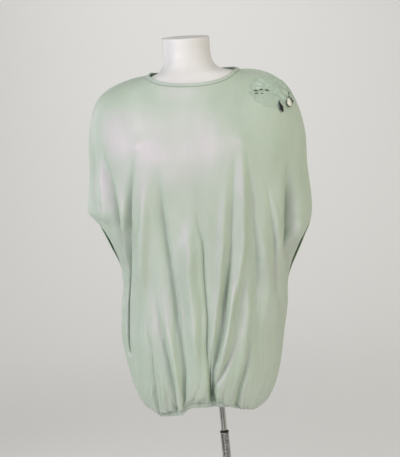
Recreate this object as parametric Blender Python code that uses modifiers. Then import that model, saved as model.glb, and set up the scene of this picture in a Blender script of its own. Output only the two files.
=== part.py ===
"""A jersey tunic top worn by a limbless dress form on a telescopic pole.

Metres, +Z up.  The origin is the middle of the base's underside, the front of
the garment faces -Y, and the wearer's left shoulder, with the lace, is at +X.
The garment is one cut: a front and a back that run over the shoulders into cap
sleeves.  Both are read from the same closed rings, so their seams meet.
"""
import math

import bmesh
import bpy
from mathutils import Matrix, Vector
from mathutils.bvhtree import BVHTree

# ---------------------------------------------------------------- sizes
WALL = 0.0012              # thickness of the jersey with its seam allowances
SEAM_GAP = 0.0003          # clear distance between two sewn pieces
ROUNDING = 0.00002         # a little more, because meshes hold 32-bit numbers
SHOULDER_CLEARANCE = 0.0018  # corners of the cloth to the form, where it rests on it
BUST_CLEARANCE = 0.0038    # and lower, where the faces between the corners are larger
SHOULDER_FOOT, BUST_TOP = 1.37, 1.31
FORM_SHELL = 0.0035        # wall of the moulded form
COLUMNS_FRONT = 43         # points across the front panel
COLUMNS_BACK = 31          # points across the back panel
NECKBAND_HEIGHT = 0.0095
HEM_BAND_HEIGHT = 0.0125
BAND_ROWS = 1              # rows of cells in each band
NECKBAND_ALONG, NECKBAND_UP = 0.75, 0.45   # the neckband leans on from the cloth, and up
HEM_BAND_STEP_IN = 0.0022  # the band is tighter than the gathered cloth above it

BASE_RADIUS = 0.150
BASE_THICKNESS = 0.008
BASE_RIM = 0.004           # height and width of the base's rounded rim
BOSS_RADIUS, BOSS_TOP = 0.019, 0.030       # the socket that holds the outer tube
BOSS_FOOT_RADIUS = 0.030
OUTER_TUBE_RADIUS = 0.0100
INNER_TUBE_RADIUS = 0.0070
TUBE_WALL = 0.0015
SLIDE_CLEARANCE = 0.0004   # between parts that slide or turn in each other
OUTER_TUBE_PLAY = 0.0013   # from the inner tube to the wall of the outer one
COLLAR_TOP = 0.556
COLLAR_RADIUS = 0.0108
COLLAR_HEIGHT = 0.010
INNER_TUBE_BOTTOM = 0.130
FORM_BOTTOM = 0.790
PLATE_THICKNESS = 0.006
PLATE_INSET = 0.0049       # from the form's outside: its wall, and clear of it
SOCKET_RADIUS = 0.0120
SOCKET_LENGTH = 0.055
SOCKET_FLANGE_RADIUS = 0.032
SOCKET_FLANGE_THICKNESS = 0.003
ROUND_SEGMENTS = 24        # sides of each turned tube
BASE_SEGMENTS = 36

# Rings of the garment, from the neck seam (first row) to the hem seam (last row).
# x_left, z_left, x_right, z_right: where the ring crosses the shoulder or side line.
# y_front, z_front, y_back, z_back: its foremost and rearmost points.
# flat: how flat the middle is, 2 for an oval.  pinch: how thin the sides are.
LEVEL_COLUMNS = ("x_left", "z_left", "x_right", "z_right", "y_front", "z_front",
                 "y_back", "z_back", "flat", "pinch")
LEVELS = (
    (-0.105, 1.4200, 0.108, 1.4150, -0.086, 1.372, 0.074, 1.421, 2.5, 2.0),
    (-0.142, 1.4160, 0.146, 1.4110, -0.093, 1.352, 0.082, 1.404, 2.4, 2.0),
    (-0.187, 1.4030, 0.182, 1.3990, -0.101, 1.328, 0.092, 1.382, 2.3, 2.0),
    (-0.221, 1.3830, 0.211, 1.3790, -0.109, 1.302, 0.101, 1.356, 2.3, 2.0),
    (-0.243, 1.3550, 0.233, 1.3490, -0.117, 1.274, 0.109, 1.321, 2.3, 2.0),
    (-0.257, 1.3120, 0.249, 1.3060, -0.125, 1.244, 0.116, 1.283, 2.4, 1.9),
    (-0.265, 1.2540, 0.258, 1.2500, -0.132, 1.206, 0.120, 1.238, 2.5, 1.8),
    (-0.271, 1.1820, 0.257, 1.1800, -0.135, 1.154, 0.120, 1.175, 2.5, 1.7),
    (-0.280, 1.1080, 0.261, 1.1080, -0.134, 1.100, 0.117, 1.110, 2.5, 1.7),
    (-0.271, 1.0790, 0.257, 1.0560, -0.132, 1.050, 0.115, 1.055, 2.4, 1.7),
    (-0.241, 1.0210, 0.232, 1.0000, -0.131, 0.995, 0.115, 0.996, 2.3, 1.8),
    (-0.208, 0.9460, 0.193, 0.9180, -0.131, 0.925, 0.118, 0.925, 2.2, 1.9),
    (-0.215, 0.8700, 0.185, 0.8500, -0.135, 0.862, 0.127, 0.862, 2.2, 2.0),
    (-0.219, 0.8000, 0.172, 0.7850, -0.142, 0.803, 0.136, 0.803, 2.2, 2.1),
    (-0.211, 0.7350, 0.161, 0.7250, -0.148, 0.747, 0.143, 0.747, 2.2, 2.1),
    (-0.199, 0.6850, 0.147, 0.6750, -0.149, 0.699, 0.144, 0.697, 2.2, 2.1),
    (-0.188, 0.6500, 0.131, 0.6410, -0.142, 0.667, 0.138, 0.664, 2.2, 2.1),
    (-0.168, 0.6240, 0.109, 0.6240, -0.127, 0.648, 0.124, 0.645, 2.2, 2.1),
)
LEVEL_OF_TIP = 9           # the closed edge of each cap sleeve ends here ...
LEVEL_OF_UNDERARM = 11     # ... and the side seam begins here
OPENING_HALF_DEPTH = 0.023  # half of the sleeve opening, front to back
SET_BACK_LEFT = 0.013      # the opening's front edge stands in from its back edge at -X ...
SET_BACK_RIGHT = -0.003    # ... and a little out at +X
NECK_DIP, BODY_DIP = 1.5, 2.0   # how rings sag: the neckline is flatter in the middle
BODY_DIP_LEVEL = 4         # from this level down the rings sag as on the body
ASKEW = math.radians(1.1)  # the tunic hangs this much askew on the form
ASKEW_X, ASKEW_Z = -0.010, 1.045
OPENING_ROUNDNESS = 0.8    # 1 for a plain sine; less makes the opening's ends blunter
RING_FINENESS = 12         # steps on a ring's curve for each point that is kept

# The form, from the neck cut down: half width, foremost and rearmost points.
FORM_COLUMNS = ("z", "half_width", "y_front", "y_back")
FORM_LEVELS = (
    (1.5020, 0.0545, -0.055, 0.055),
    (1.4980, 0.0565, -0.057, 0.057),
    (1.4600, 0.0560, -0.056, 0.058),
    (1.4400, 0.0600, -0.060, 0.062),
    (1.4250, 0.0720, -0.064, 0.067),
    (1.4160, 0.0950, -0.068, 0.071),
    (1.4080, 0.1280, -0.072, 0.075),
    (1.3970, 0.1560, -0.077, 0.081),
    (1.3820, 0.1750, -0.083, 0.088),
    (1.3600, 0.1860, -0.091, 0.096),
    (1.3200, 0.1900, -0.101, 0.105),
    (1.2800, 0.1870, -0.109, 0.110),
    (1.2400, 0.1800, -0.113, 0.110),
    (1.2000, 0.1710, -0.110, 0.106),
    (1.1500, 0.1580, -0.099, 0.097),
    (1.0600, 0.1430, -0.086, 0.083),
    (0.9800, 0.1500, -0.092, 0.095),
    (0.9000, 0.1640, -0.102, 0.113),
    (0.8400, 0.1670, -0.103, 0.115),
    (0.7900, 0.1620, -0.098, 0.108),
)
FORM_RING_POINTS = 32
NECK_CUT_SLOPE = 0.16      # the neck is cut lower at the front
NECK_CUT_FOOT, NECK_CUT_FADE = 1.460, 0.038
BUST_X, BUST_Z = 0.092, 1.236
BUST_WIDTH, BUST_HEIGHT, BUST_RISE = 0.052, 0.062, 0.026
BUST_UPPER_SLOPE = 1.35    # the upper slope is this much longer than the lower one
BUST_SIDE_FADE = 0.7       # how fast the rise dies away round the sides
DRAPE_WIDTH, DRAPE_HEIGHT, DRAPE_RISE = 0.074, 0.085, 0.006   # the cloth over the bust

# Large folds.  Each follows three points (x, z) downwards; half_width is across
# the fold, depth is outwards: below zero a trough, above zero a ridge.
FOLD_COLUMNS = ("x_top", "z_top", "x_mid", "z_mid", "x_low", "z_low", "half_width", "depth")
FRONT_FOLDS = (
    (-0.232, 1.310, -0.242, 1.190, -0.238, 1.080, 0.012, -0.0050),
    (-0.214, 1.290, -0.204, 1.150, -0.192, 0.990, 0.014, -0.0080),
    (-0.190, 1.190, -0.186, 1.110, -0.182, 1.000, 0.012, 0.0050),
    (-0.143, 1.240, -0.170, 1.080, -0.196, 0.820, 0.015, -0.0150),
    (-0.196, 0.850, -0.199, 0.780, -0.190, 0.690, 0.014, -0.0100),
    (-0.105, 1.200, -0.114, 1.040, -0.130, 0.860, 0.018, 0.0080),
    (-0.082, 1.210, -0.068, 0.970, -0.049, 0.690, 0.018, -0.0080),
    (-0.019, 1.100, -0.015, 0.930, -0.004, 0.740, 0.020, 0.0060),
    (0.016, 1.030, 0.004, 0.870, 0.004, 0.650, 0.011, -0.0060),
    (0.024, 0.920, 0.023, 0.820, 0.008, 0.710, 0.011, 0.0050),
    (0.112, 1.235, 0.078, 0.990, 0.010, 0.690, 0.017, -0.0130),
    (0.122, 1.220, 0.106, 0.970, 0.045, 0.730, 0.014, 0.0070),
    (0.136, 1.220, 0.137, 0.960, 0.110, 0.750, 0.015, -0.0090),
    (0.094, 0.850, 0.068, 0.752, 0.034, 0.660, 0.010, -0.0060),
    (0.161, 1.150, 0.174, 0.960, 0.184, 0.800, 0.012, -0.0060),
    (0.227, 1.240, 0.216, 1.100, 0.198, 0.950, 0.016, -0.0120),
    (0.256, 1.240, 0.256, 1.160, 0.252, 1.070, 0.009, -0.0040),
)
BACK_FOLDS = (
    (-0.222, 1.290, -0.224, 1.170, -0.214, 1.050, 0.016, -0.0090),
    (-0.150, 1.260, -0.166, 1.060, -0.186, 0.840, 0.017, -0.0110),
    (-0.105, 1.180, -0.108, 0.980, -0.100, 0.780, 0.020, 0.0070),
    (-0.060, 1.220, -0.050, 0.980, -0.036, 0.690, 0.018, -0.0090),
    (0.004, 1.120, 0.000, 0.920, -0.006, 0.720, 0.021, 0.0070),
    (0.062, 1.230, 0.050, 0.970, 0.024, 0.680, 0.018, -0.0100),
    (0.108, 1.160, 0.104, 0.960, 0.082, 0.760, 0.019, 0.0060),
    (0.150, 1.250, 0.158, 1.050, 0.160, 0.820, 0.016, -0.0100),
    (0.220, 1.280, 0.218, 1.150, 0.206, 1.020, 0.015, -0.0080),
)
FOLD_FADE = 0.045          # a fold dies out over this height at both ends

# Gathers above the hem seam: place across, how far up they reach, depth.
GATHER_COLUMNS = ("x", "reach", "depth")
FRONT_GATHERS = (
    (-0.146, 0.050, 0.0035), (-0.124, 0.075, 0.0045), (-0.103, 0.055, 0.0045),
    (-0.086, 0.065, 0.0040), (-0.064, 0.080, 0.0050), (-0.040, 0.045, 0.0040),
    (-0.018, 0.060, 0.0045), (0.030, 0.050, 0.0045), (0.050, 0.090, 0.0060),
    (0.070, 0.060, 0.0050), (0.088, 0.080, 0.0045),
)
BACK_GATHERS = (
    (-0.140, 0.060, 0.0040), (-0.115, 0.075, 0.0045), (-0.090, 0.050, 0.0040),
    (-0.066, 0.070, 0.0045), (-0.040, 0.055, 0.0045), (-0.014, 0.080, 0.0050),
    (0.014, 0.060, 0.0045), (0.040, 0.070, 0.0045), (0.064, 0.050, 0.0040),
    (0.088, 0.075, 0.0045),
)
GATHER_HALF_WIDTH = 0.0060

# The lace applique on the wearer's left shoulder, and what hangs on it.
LACE_CENTRE = (0.201, 1.348)          # x and z of its middle
LACE_REACH = (0.056, 0.040)           # half of its width and of its height
LACE_FACING = (0.15, -0.30, 0.45)      # leans its flat towards the top of the shoulder
LACE_LOBES = 6
LACE_LOBE_DEPTH = 0.09
LACE_THICKNESS = 0.0014
LACE_RINGS = 6
LACE_SPOKES = 36
LACE_GAP = 0.0010                     # to the panel's corners; about 0.3 mm clear between faces
LACE_EYELETS = ((2, 16), (2, 19), (4, 15), (4, 17), (4, 19), (4, 21))   # ring, spoke
BEAD_GAP = 0.00035                    # between a bead and the lace below it
BEAD_START = 0.02                     # each bead is set down from this height
WHITE_BEAD = dict(x=0.2310, z=1.3190, half_width=0.0062, half_height=0.0100, half_depth=0.0034,
                  taper=0.25, lean=0.0)
DARK_BEAD = dict(x=0.2135, z=1.3120, half_width=0.0046, half_height=0.0130, half_depth=0.0026,
                 taper=0.55, lean=math.radians(-14))


# ---------------------------------------------------------------- small helpers
def named(columns, row):
    return dict(zip(columns, row))


def smooth_step(value):
    value = min(max(value, 0.0), 1.0)
    return value * value * (3 - 2 * value)


def read_table(rows, columns, level):
    """A smooth reading between the rows of a table, at a fractional row."""
    last = len(rows) - 1
    level = min(max(level, 0.0), float(last))
    low = min(int(level), last - 1)
    part = level - low
    picks = [rows[min(max(low + step, 0), last)] for step in (-1, 0, 1, 2)]
    values = []
    for before, start, end, after in zip(*picks):
        rise_in = (end - before) / 2
        rise_out = (after - start) / 2
        curve = (2 * start - 2 * end + rise_in + rise_out) * part ** 3
        curve += (3 * end - 3 * start - 2 * rise_in - rise_out) * part ** 2
        values.append(curve + rise_in * part + start)
    return named(columns, values)


def spread_evenly(points, count):
    """Points set evenly along an open run of points."""
    lengths = [0.0]
    for start, end in zip(points, points[1:]):
        lengths.append(lengths[-1] + (end - start).length)
    spread = []
    at = 0
    for step in range(count):
        target = lengths[-1] * step / (count - 1)
        while at < len(points) - 2 and lengths[at + 1] < target:
            at += 1
        span = lengths[at + 1] - lengths[at]
        share = (target - lengths[at]) / span if span else 0.0
        spread.append(points[at].lerp(points[at + 1], min(share, 1.0)))
    return spread


def finish(name, colour, roughness, metallic=0.0):
    material = bpy.data.materials.new(name)
    material.use_nodes = True
    shader = material.node_tree.nodes["Principled BSDF"]
    shader.inputs["Base Color"].default_value = (*colour, 1.0)
    shader.inputs["Roughness"].default_value = roughness
    shader.inputs["Metallic"].default_value = metallic
    return material


def add_object(name, mesh, material, collection):
    made = bpy.data.objects.new(name, mesh)
    made.data.materials.append(material)
    collection.objects.link(made)
    made.data.shade_smooth()
    made.data.set_sharp_from_angle(angle=math.radians(40))
    return made


# ---------------------------------------------------------------- dress form
def bust(x, z, width, height):
    """A soft rise, up to one, over each of the two sides of the bust."""
    rise = 0.0
    for centre in (-BUST_X, BUST_X):
        slope = height if z < BUST_Z else height * BUST_UPPER_SLOPE
        rise += math.exp(-((x - centre) / width) ** 2 - ((z - BUST_Z) / slope) ** 2)
    return rise


def form_ring(row, count):
    """One closed ring of the form, at the height of a table row."""
    level = named(FORM_COLUMNS, row)
    ring = []
    for step in range(count):
        angle = 2 * math.pi * step / count
        x = level["half_width"] * math.cos(angle)
        front = math.sin(angle) < 0
        depth = -level["y_front"] if front else level["y_back"]
        y = depth * math.sin(angle)
        if front:
            rise = bust(x, level["z"], BUST_WIDTH, BUST_HEIGHT)
            y -= BUST_RISE * rise * abs(math.sin(angle)) ** BUST_SIDE_FADE
        ring.append(Vector((x, y, level["z"])))
    return ring


def tilt_neck(point):
    """The flat cut of the neck slopes down to the front, and fades out below."""
    share = smooth_step((point.z - NECK_CUT_FOOT) / NECK_CUT_FADE)
    return point + Vector((0, 0, NECK_CUT_SLOPE * point.y * share))


def make_form(collection, material):
    """The moulded shell, open below; returns its outside as a search tree."""
    model = bmesh.new()
    rings = []
    for row in FORM_LEVELS:
        rings.append([model.verts.new(tilt_neck(p)) for p in form_ring(row, FORM_RING_POINTS)])
    for upper, lower in zip(rings, rings[1:]):
        for step in range(FORM_RING_POINTS):
            after = (step + 1) % FORM_RING_POINTS
            model.faces.new((upper[step], lower[step], lower[after], upper[after]))
    model.faces.new(rings[0])
    bmesh.ops.recalc_face_normals(model, faces=model.faces)
    outside = BVHTree.FromBMesh(model)
    mesh = bpy.data.meshes.new("form_torso")
    model.to_mesh(mesh)
    model.free()
    form = add_object("form_torso", mesh, material, collection)
    wall = form.modifiers.new("wall", "SOLIDIFY")
    wall.thickness = FORM_SHELL
    wall.offset = -1.0
    wall.use_even_offset = True
    return outside


def surface_of(thing):
    """The outside of an object as a search tree, as its modifiers leave it."""
    bpy.context.view_layer.update()
    return BVHTree.FromObject(thing, bpy.context.evaluated_depsgraph_get())


# ---------------------------------------------------------------- garment surface
def openness(level):
    """Zero where the sides are closed, one in the middle of the sleeve opening."""
    share = (level - LEVEL_OF_TIP) / (LEVEL_OF_UNDERARM - LEVEL_OF_TIP)
    return math.sin(math.pi * share) ** OPENING_ROUNDNESS if 0 < share < 1 else 0.0


def half_ring(level, count, back):
    """Half of a ring, from the right side line to the left one."""
    ring = read_table(LEVELS, LEVEL_COLUMNS, level)
    gape = openness(level)
    depth = ring["y_back"] if back else ring["y_front"]
    height = ring["z_back"] if back else ring["z_front"]
    side_y = OPENING_HALF_DEPTH * gape * (1 if back else -1)
    set_in = 0.0 if back else gape
    x_right = ring["x_right"] - SET_BACK_RIGHT * set_in
    x_left = ring["x_left"] + SET_BACK_LEFT * set_in
    dip = NECK_DIP + (BODY_DIP - NECK_DIP) * smooth_step(level / BODY_DIP_LEVEL)
    dense = RING_FINENESS * count
    points = []
    for step in range(dense + 1):
        angle = math.pi * step / dense
        share = (1 + math.cos(angle)) / 2
        x = x_left + (x_right - x_left) * share
        side_z = ring["z_left"] + (ring["z_right"] - ring["z_left"]) * share
        inward = max(1 - abs(math.cos(angle)) ** ring["flat"], 0.0)
        y = side_y + (depth - side_y) * inward ** (1 / ring["pinch"])
        z = side_z + (height - side_z) * abs(math.sin(angle)) ** dip
        if not back:
            y -= DRAPE_RISE * bust(x, z, DRAPE_WIDTH, DRAPE_HEIGHT)
        points.append(Vector((x, y, z)))
    return spread_evenly(points, count)


def fold_offset(x, z, folds):
    """How far the folds move a point out (above zero) or in."""
    total = 0.0
    for row in folds:
        fold = named(FOLD_COLUMNS, row)
        if not fold["z_low"] < z < fold["z_top"]:
            continue
        run = (fold["z_top"] - z) / (fold["z_top"] - fold["z_low"])
        bend = (fold["z_top"] - fold["z_mid"]) / (fold["z_top"] - fold["z_low"])
        straight = fold["x_top"] + (fold["x_low"] - fold["x_top"]) * run
        bow = fold["x_mid"] - (fold["x_top"] + (fold["x_low"] - fold["x_top"]) * bend)
        centre = straight + bow * run * (1 - run) / (bend * (1 - bend))
        across = (x - centre) / fold["half_width"]
        ends = smooth_step((fold["z_top"] - z) / FOLD_FADE)
        ends *= smooth_step((z - fold["z_low"]) / FOLD_FADE)
        total += fold["depth"] * math.exp(-across ** 2) * ends
    return total


def gather_offset(x, height, gathers):
    """The small troughs that run up from the hem seam; height is above the seam."""
    total = 0.0
    for row in gathers:
        gather = named(GATHER_COLUMNS, row)
        across = (x - gather["x"]) / GATHER_HALF_WIDTH
        fade = 1 - smooth_step(height / gather["reach"])
        total -= gather["depth"] * math.exp(-across ** 2) * fade
    return total


def ring_normals(rings):
    """Unit normals of a stack of closed rings."""
    normals = []
    last_row = len(rings) - 1
    for r, ring in enumerate(rings):
        line = []
        for c in range(len(ring)):
            along = ring[(c + 1) % len(ring)] - ring[c - 1]
            down = rings[min(r + 1, last_row)][c] - rings[max(r - 1, 0)][c]
            line.append(along.cross(down).normalized())
        normals.append(line)
    return normals


def garment_normals(rings):
    """Normals out of the garment, shared by both panels along their closed seams."""
    normals = ring_normals(rings)
    for ring, line in zip(rings, normals):
        for front, back in ((0, len(ring) - 1), (COLUMNS_FRONT - 1, COLUMNS_FRONT)):
            if (ring[front] - ring[back]).length < SEAM_GAP:
                shared = (line[front] + line[back]).normalized()
                line[front] = shared
                line[back] = shared
    return normals


def garment_levels():
    """The fractional table rows at which the panels have a row of points."""
    curved = [step / 2 for step in range(2 * LEVEL_OF_UNDERARM)]
    hanging = [float(level) for level in range(LEVEL_OF_UNDERARM, len(LEVELS))]
    return curved + hanging


def hang_askew(point):
    """Turns a point of the garment a little about the line of sight from the front."""
    x, z = point.x - ASKEW_X, point.z - ASKEW_Z
    turned = (x * math.cos(ASKEW) + z * math.sin(ASKEW), point.y,
              z * math.cos(ASKEW) - x * math.sin(ASKEW))
    return Vector(turned) + Vector((ASKEW_X, 0, ASKEW_Z))


def panel_rings():
    """Whole rings of the panels, front then back, with their folds and gathers."""
    rings = []
    for level in garment_levels():
        front = half_ring(level, COLUMNS_FRONT, back=False)
        back = half_ring(level, COLUMNS_BACK, back=True)
        rings.append(front + back[::-1])
    hem_z = named(LEVEL_COLUMNS, LEVELS[-1])["z_front"]
    sides = (0, COLUMNS_FRONT - 1, COLUMNS_FRONT, COLUMNS_FRONT + COLUMNS_BACK - 1)
    for ring, line in zip(rings, garment_normals(rings)):
        for c, (point, normal) in enumerate(zip(ring, line)):
            if c in sides:
                continue
            folds = FRONT_FOLDS if c < COLUMNS_FRONT else BACK_FOLDS
            gathers = FRONT_GATHERS if c < COLUMNS_FRONT else BACK_GATHERS
            offset = fold_offset(point.x, point.z, folds)
            offset += gather_offset(point.x, point.z - hem_z, gathers)
            ring[c] = point + normal * offset
    return [[hang_askew(point) for point in ring] for ring in rings]


def neckband_rings(seam, below):
    """The rows of the neckband above the neck seam, top row first."""
    rings = []
    for share in [1 - step / BAND_ROWS for step in range(BAND_ROWS)]:
        ring = []
        for point, lower in zip(seam, below):
            rise = (point - lower).normalized() * NECKBAND_ALONG + Vector((0, 0, NECKBAND_UP))
            ring.append(point + rise.normalized() * (NECKBAND_HEIGHT * share))
        rings.append(ring)
    return rings


def hem_band_rings(seam, line):
    """The rows of the hem band below the hem seam: it stands nearly straight down."""
    rings = []
    for share in [(step + 1) / BAND_ROWS for step in range(BAND_ROWS)]:
        ring = []
        for point, normal in zip(seam, line):
            outward = Vector((normal.x, normal.y, 0)).normalized()
            drop = Vector((0, 0, -HEM_BAND_HEIGHT * share))
            ring.append(point - outward * (HEM_BAND_STEP_IN * share) + drop)
        rings.append(ring)
    return rings


def garment_rings(form_surface):
    """Every ring of the garment from the neck edge to the lower edge of the hem band."""
    panels = panel_rings()
    neck = neckband_rings(panels[0], panels[1])
    hem = hem_band_rings(panels[-1], garment_normals(panels)[-1])
    rings = neck + panels + hem
    return [[clear_of_form(point, form_surface) for point in ring] for ring in rings]


def clear_of_form(point, form_surface):
    """Moves a point of the cloth's inner face out of the form, if it needs it."""
    if point.z < FORM_BOTTOM:
        return point
    on_shoulder = smooth_step((point.z - BUST_TOP) / (SHOULDER_FOOT - BUST_TOP))
    clearance = BUST_CLEARANCE + (SHOULDER_CLEARANCE - BUST_CLEARANCE) * on_shoulder
    near, normal, _, distance = form_surface.find_nearest(point)
    if distance >= clearance and (point - near).dot(normal) > 0:
        return point
    return near + normal * clearance


# ---------------------------------------------------------------- cloth pieces
def pull_in(points, amount):
    """Moves the two ends of a run of points towards its middle."""
    start = (points[1] - points[0]).normalized() * amount
    end = (points[-2] - points[-1]).normalized() * amount
    points[0] = points[0] + start
    points[-1] = points[-1] + end


def trim_edges(grid, closed):
    """Leaves half of the seam gap along the edges of a piece."""
    columns = [list(column) for column in zip(*grid)]
    for column in columns:
        pull_in(column, SEAM_GAP / 2 + ROUNDING)
    rows = [list(row) for row in zip(*columns)]
    if not closed:
        for row in rows:
            pull_in(row, SEAM_GAP / 2 + ROUNDING)
    return rows


def wall_mesh(name, inner, outer, closed, holes=()):
    """A closed wall between two grids of points; holes are grid cells left out."""
    model = bmesh.new()
    sheets = []
    for grid in (inner, outer):
        sheets.append([[model.verts.new(point) for point in row] for row in grid])
    row_count, column_count = len(inner), len(inner[0])
    spans = column_count if closed else column_count - 1

    def kept(r, c):
        if closed:
            c %= column_count
        return 0 <= r < row_count - 1 and 0 <= c < spans and (r, c) not in holes

    def corner(sheet, r, c):
        return sheets[sheet][r][c % column_count]

    for r in range(row_count - 1):
        for c in range(spans):
            if not kept(r, c):
                continue
            ring = ((r, c), (r, c + 1), (r + 1, c + 1), (r + 1, c))
            for half in (ring[:3], (ring[0], ring[2], ring[3])):
                model.faces.new([corner(1, *place) for place in half])
                model.faces.new([corner(0, *place) for place in reversed(half)])
            beyond = ((r - 1, c), (r, c + 1), (r + 1, c), (r, c - 1))
            for side, neighbour in enumerate(beyond):
                start, end = ring[side], ring[(side + 1) % 4]
                if not kept(*neighbour):
                    model.faces.new([corner(1, *end), corner(1, *start),
                                     corner(0, *start), corner(0, *end)])
    unused = [vertex for vertex in model.verts if not vertex.link_faces]
    bmesh.ops.delete(model, geom=unused, context="VERTS")
    mesh = bpy.data.meshes.new(name)
    model.to_mesh(mesh)
    model.free()
    return mesh


def thicken(grid, normals, thickness):
    return [[point + normal * thickness for point, normal in zip(row, line)]
            for row, line in zip(grid, normals)]


def without_doubles(ring):
    """A ring with one point where the front and the back share a side line."""
    return ring[:COLUMNS_FRONT - 1] + ring[COLUMNS_FRONT:-1]


def make_cloth(name, rings, normals, wall, columns, collection, material):
    """A piece of cloth: a slice of the rings, or whole rings where columns is None."""
    if columns:
        grid = [ring[columns] for ring in rings]
        lines = [line[columns] for line in normals]
    else:
        grid = [without_doubles(ring) for ring in rings]
        lines = [without_doubles(line) for line in normals]
    closed = columns is None
    inner = trim_edges(grid, closed)
    outer = trim_edges(thicken(grid, lines, wall), closed)
    mesh = wall_mesh(name, inner, outer, closed)
    return add_object(name, mesh, material, collection)


def make_garment(form_surface, collection, jersey, band):
    """The two panels between the neckband and the hem band; returns the front."""
    rings = garment_rings(form_surface)
    normals = garment_normals(rings)
    neck_seam = BAND_ROWS
    hem_seam = len(rings) - 1 - BAND_ROWS
    neck_rows = slice(0, neck_seam + 1)
    panel_rows = slice(neck_seam, hem_seam + 1)
    hem_rows = slice(hem_seam, None)
    front_columns = slice(0, COLUMNS_FRONT)
    back_columns = slice(COLUMNS_FRONT, None)
    make_cloth("neckband", rings[neck_rows], normals[neck_rows], WALL, None, collection, band)
    make_cloth("hem_band", rings[hem_rows], normals[hem_rows], WALL, None, collection, band)
    make_cloth("back_panel", rings[panel_rows], normals[panel_rows], WALL, back_columns,
               collection, jersey)
    return make_cloth("front_panel", rings[panel_rows], normals[panel_rows], WALL,
                      front_columns, collection, jersey)


# ---------------------------------------------------------------- lace and beads
def drop_on(surface, x, z):
    """The point and normal of the panel's outer face, met from the front."""
    place, normal, _, _ = surface.ray_cast(Vector((x, -0.5, z)), Vector((0, 1, 0)))
    return place, normal


def lace_axes(surface):
    """The lace's middle on the panel, its outward axis, and its axes across and up."""
    place, outward = drop_on(surface, *LACE_CENTRE)
    outward = (outward + Vector(LACE_FACING)).normalized()
    across = Vector((0, 0, 1)).cross(outward).normalized()
    return place, outward, across, outward.cross(across)


def lace_edge(angle):
    """The scalloped outline of the lace, as a share of its reach."""
    return 1 - LACE_LOBE_DEPTH * (1 - abs(math.cos(LACE_LOBES * angle / 2)))


def make_lace(surface, collection, material):
    """A round, scalloped motif that lies on the shoulder, cut through by eyelets."""
    middle, outward, across, up = lace_axes(surface)
    rings = []
    for ring in range(LACE_RINGS):
        share = (ring + 0.35) / (LACE_RINGS - 0.65)
        points = []
        for spoke in range(LACE_SPOKES):
            angle = -2 * math.pi * spoke / LACE_SPOKES
            reach = share * lace_edge(angle)
            flat = across * (LACE_REACH[0] * reach * math.cos(angle))
            flat += up * (LACE_REACH[1] * reach * math.sin(angle))
            place, _, _, _ = surface.ray_cast(middle + flat + outward * 0.2, -outward)
            points.append(place)
        rings.append(points)
    normals = ring_normals(rings)
    inner = thicken(rings, normals, LACE_GAP)
    outer = thicken(rings, normals, LACE_GAP + LACE_THICKNESS)
    mesh = wall_mesh("shoulder_lace", inner, outer, closed=True, holes=LACE_EYELETS)
    return add_object("shoulder_lace", mesh, material, collection)


def settle(points, direction, surfaces):
    """How far points can move along a direction before they reach the bead's gap."""
    free = []
    for surface in surfaces:
        for point in points:
            _, _, _, distance = surface.ray_cast(point, direction)
            if distance is not None:
                free.append(distance)
    return min(free) - BEAD_GAP


def make_bead(name, size, surfaces, collection, material):
    """A flattened drop that lies on the lace below its thread."""
    model = bmesh.new()
    bmesh.ops.create_uvsphere(model, u_segments=14, v_segments=9, radius=1.0)
    for vertex in model.verts:
        narrowing = 1 - size["taper"] * (vertex.co.z + 1) / 2
        vertex.co.x *= size["half_width"] * narrowing
        vertex.co.y *= size["half_depth"] * narrowing
        vertex.co.z *= size["half_height"]
    place, outward = drop_on(surfaces[0], size["x"], size["z"])
    turn = Vector((0, -1, 0)).rotation_difference(outward).to_matrix().to_4x4()
    turn = turn @ Matrix.Rotation(size["lean"], 4, "Y")
    start = place + outward * BEAD_START
    points = [start + turn @ vertex.co for vertex in model.verts]
    mesh = bpy.data.meshes.new(name)
    model.to_mesh(mesh)
    model.free()
    bead = add_object(name, mesh, material, collection)
    place = start - outward * settle(points, -outward, surfaces)
    bead.matrix_world = Matrix.Translation(place) @ turn
    return bead


# ---------------------------------------------------------------- stand
def make_turned(name, profile, segments, collection, material):
    """A solid turned about Z from a closed profile of (radius, height) points."""
    model = bmesh.new()
    corners = [model.verts.new((radius, 0, height)) for radius, height in profile]
    for start, end in zip(corners, corners[1:] + corners[:1]):
        model.edges.new((start, end))
    mesh = bpy.data.meshes.new(name)
    model.to_mesh(mesh)
    model.free()
    turned = add_object(name, mesh, material, collection)
    screw = turned.modifiers.new("turn", "SCREW")
    screw.angle = 2 * math.pi
    screw.steps = segments
    screw.render_steps = segments
    screw.use_merge_vertices = True
    screw.merge_threshold = 0.00005
    return turned


def tube_profile(outer, inner, low, high):
    """The section of a plain tube, down its outer side first."""
    return [(outer, high), (outer, low), (inner, low), (inner, high)]


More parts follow.
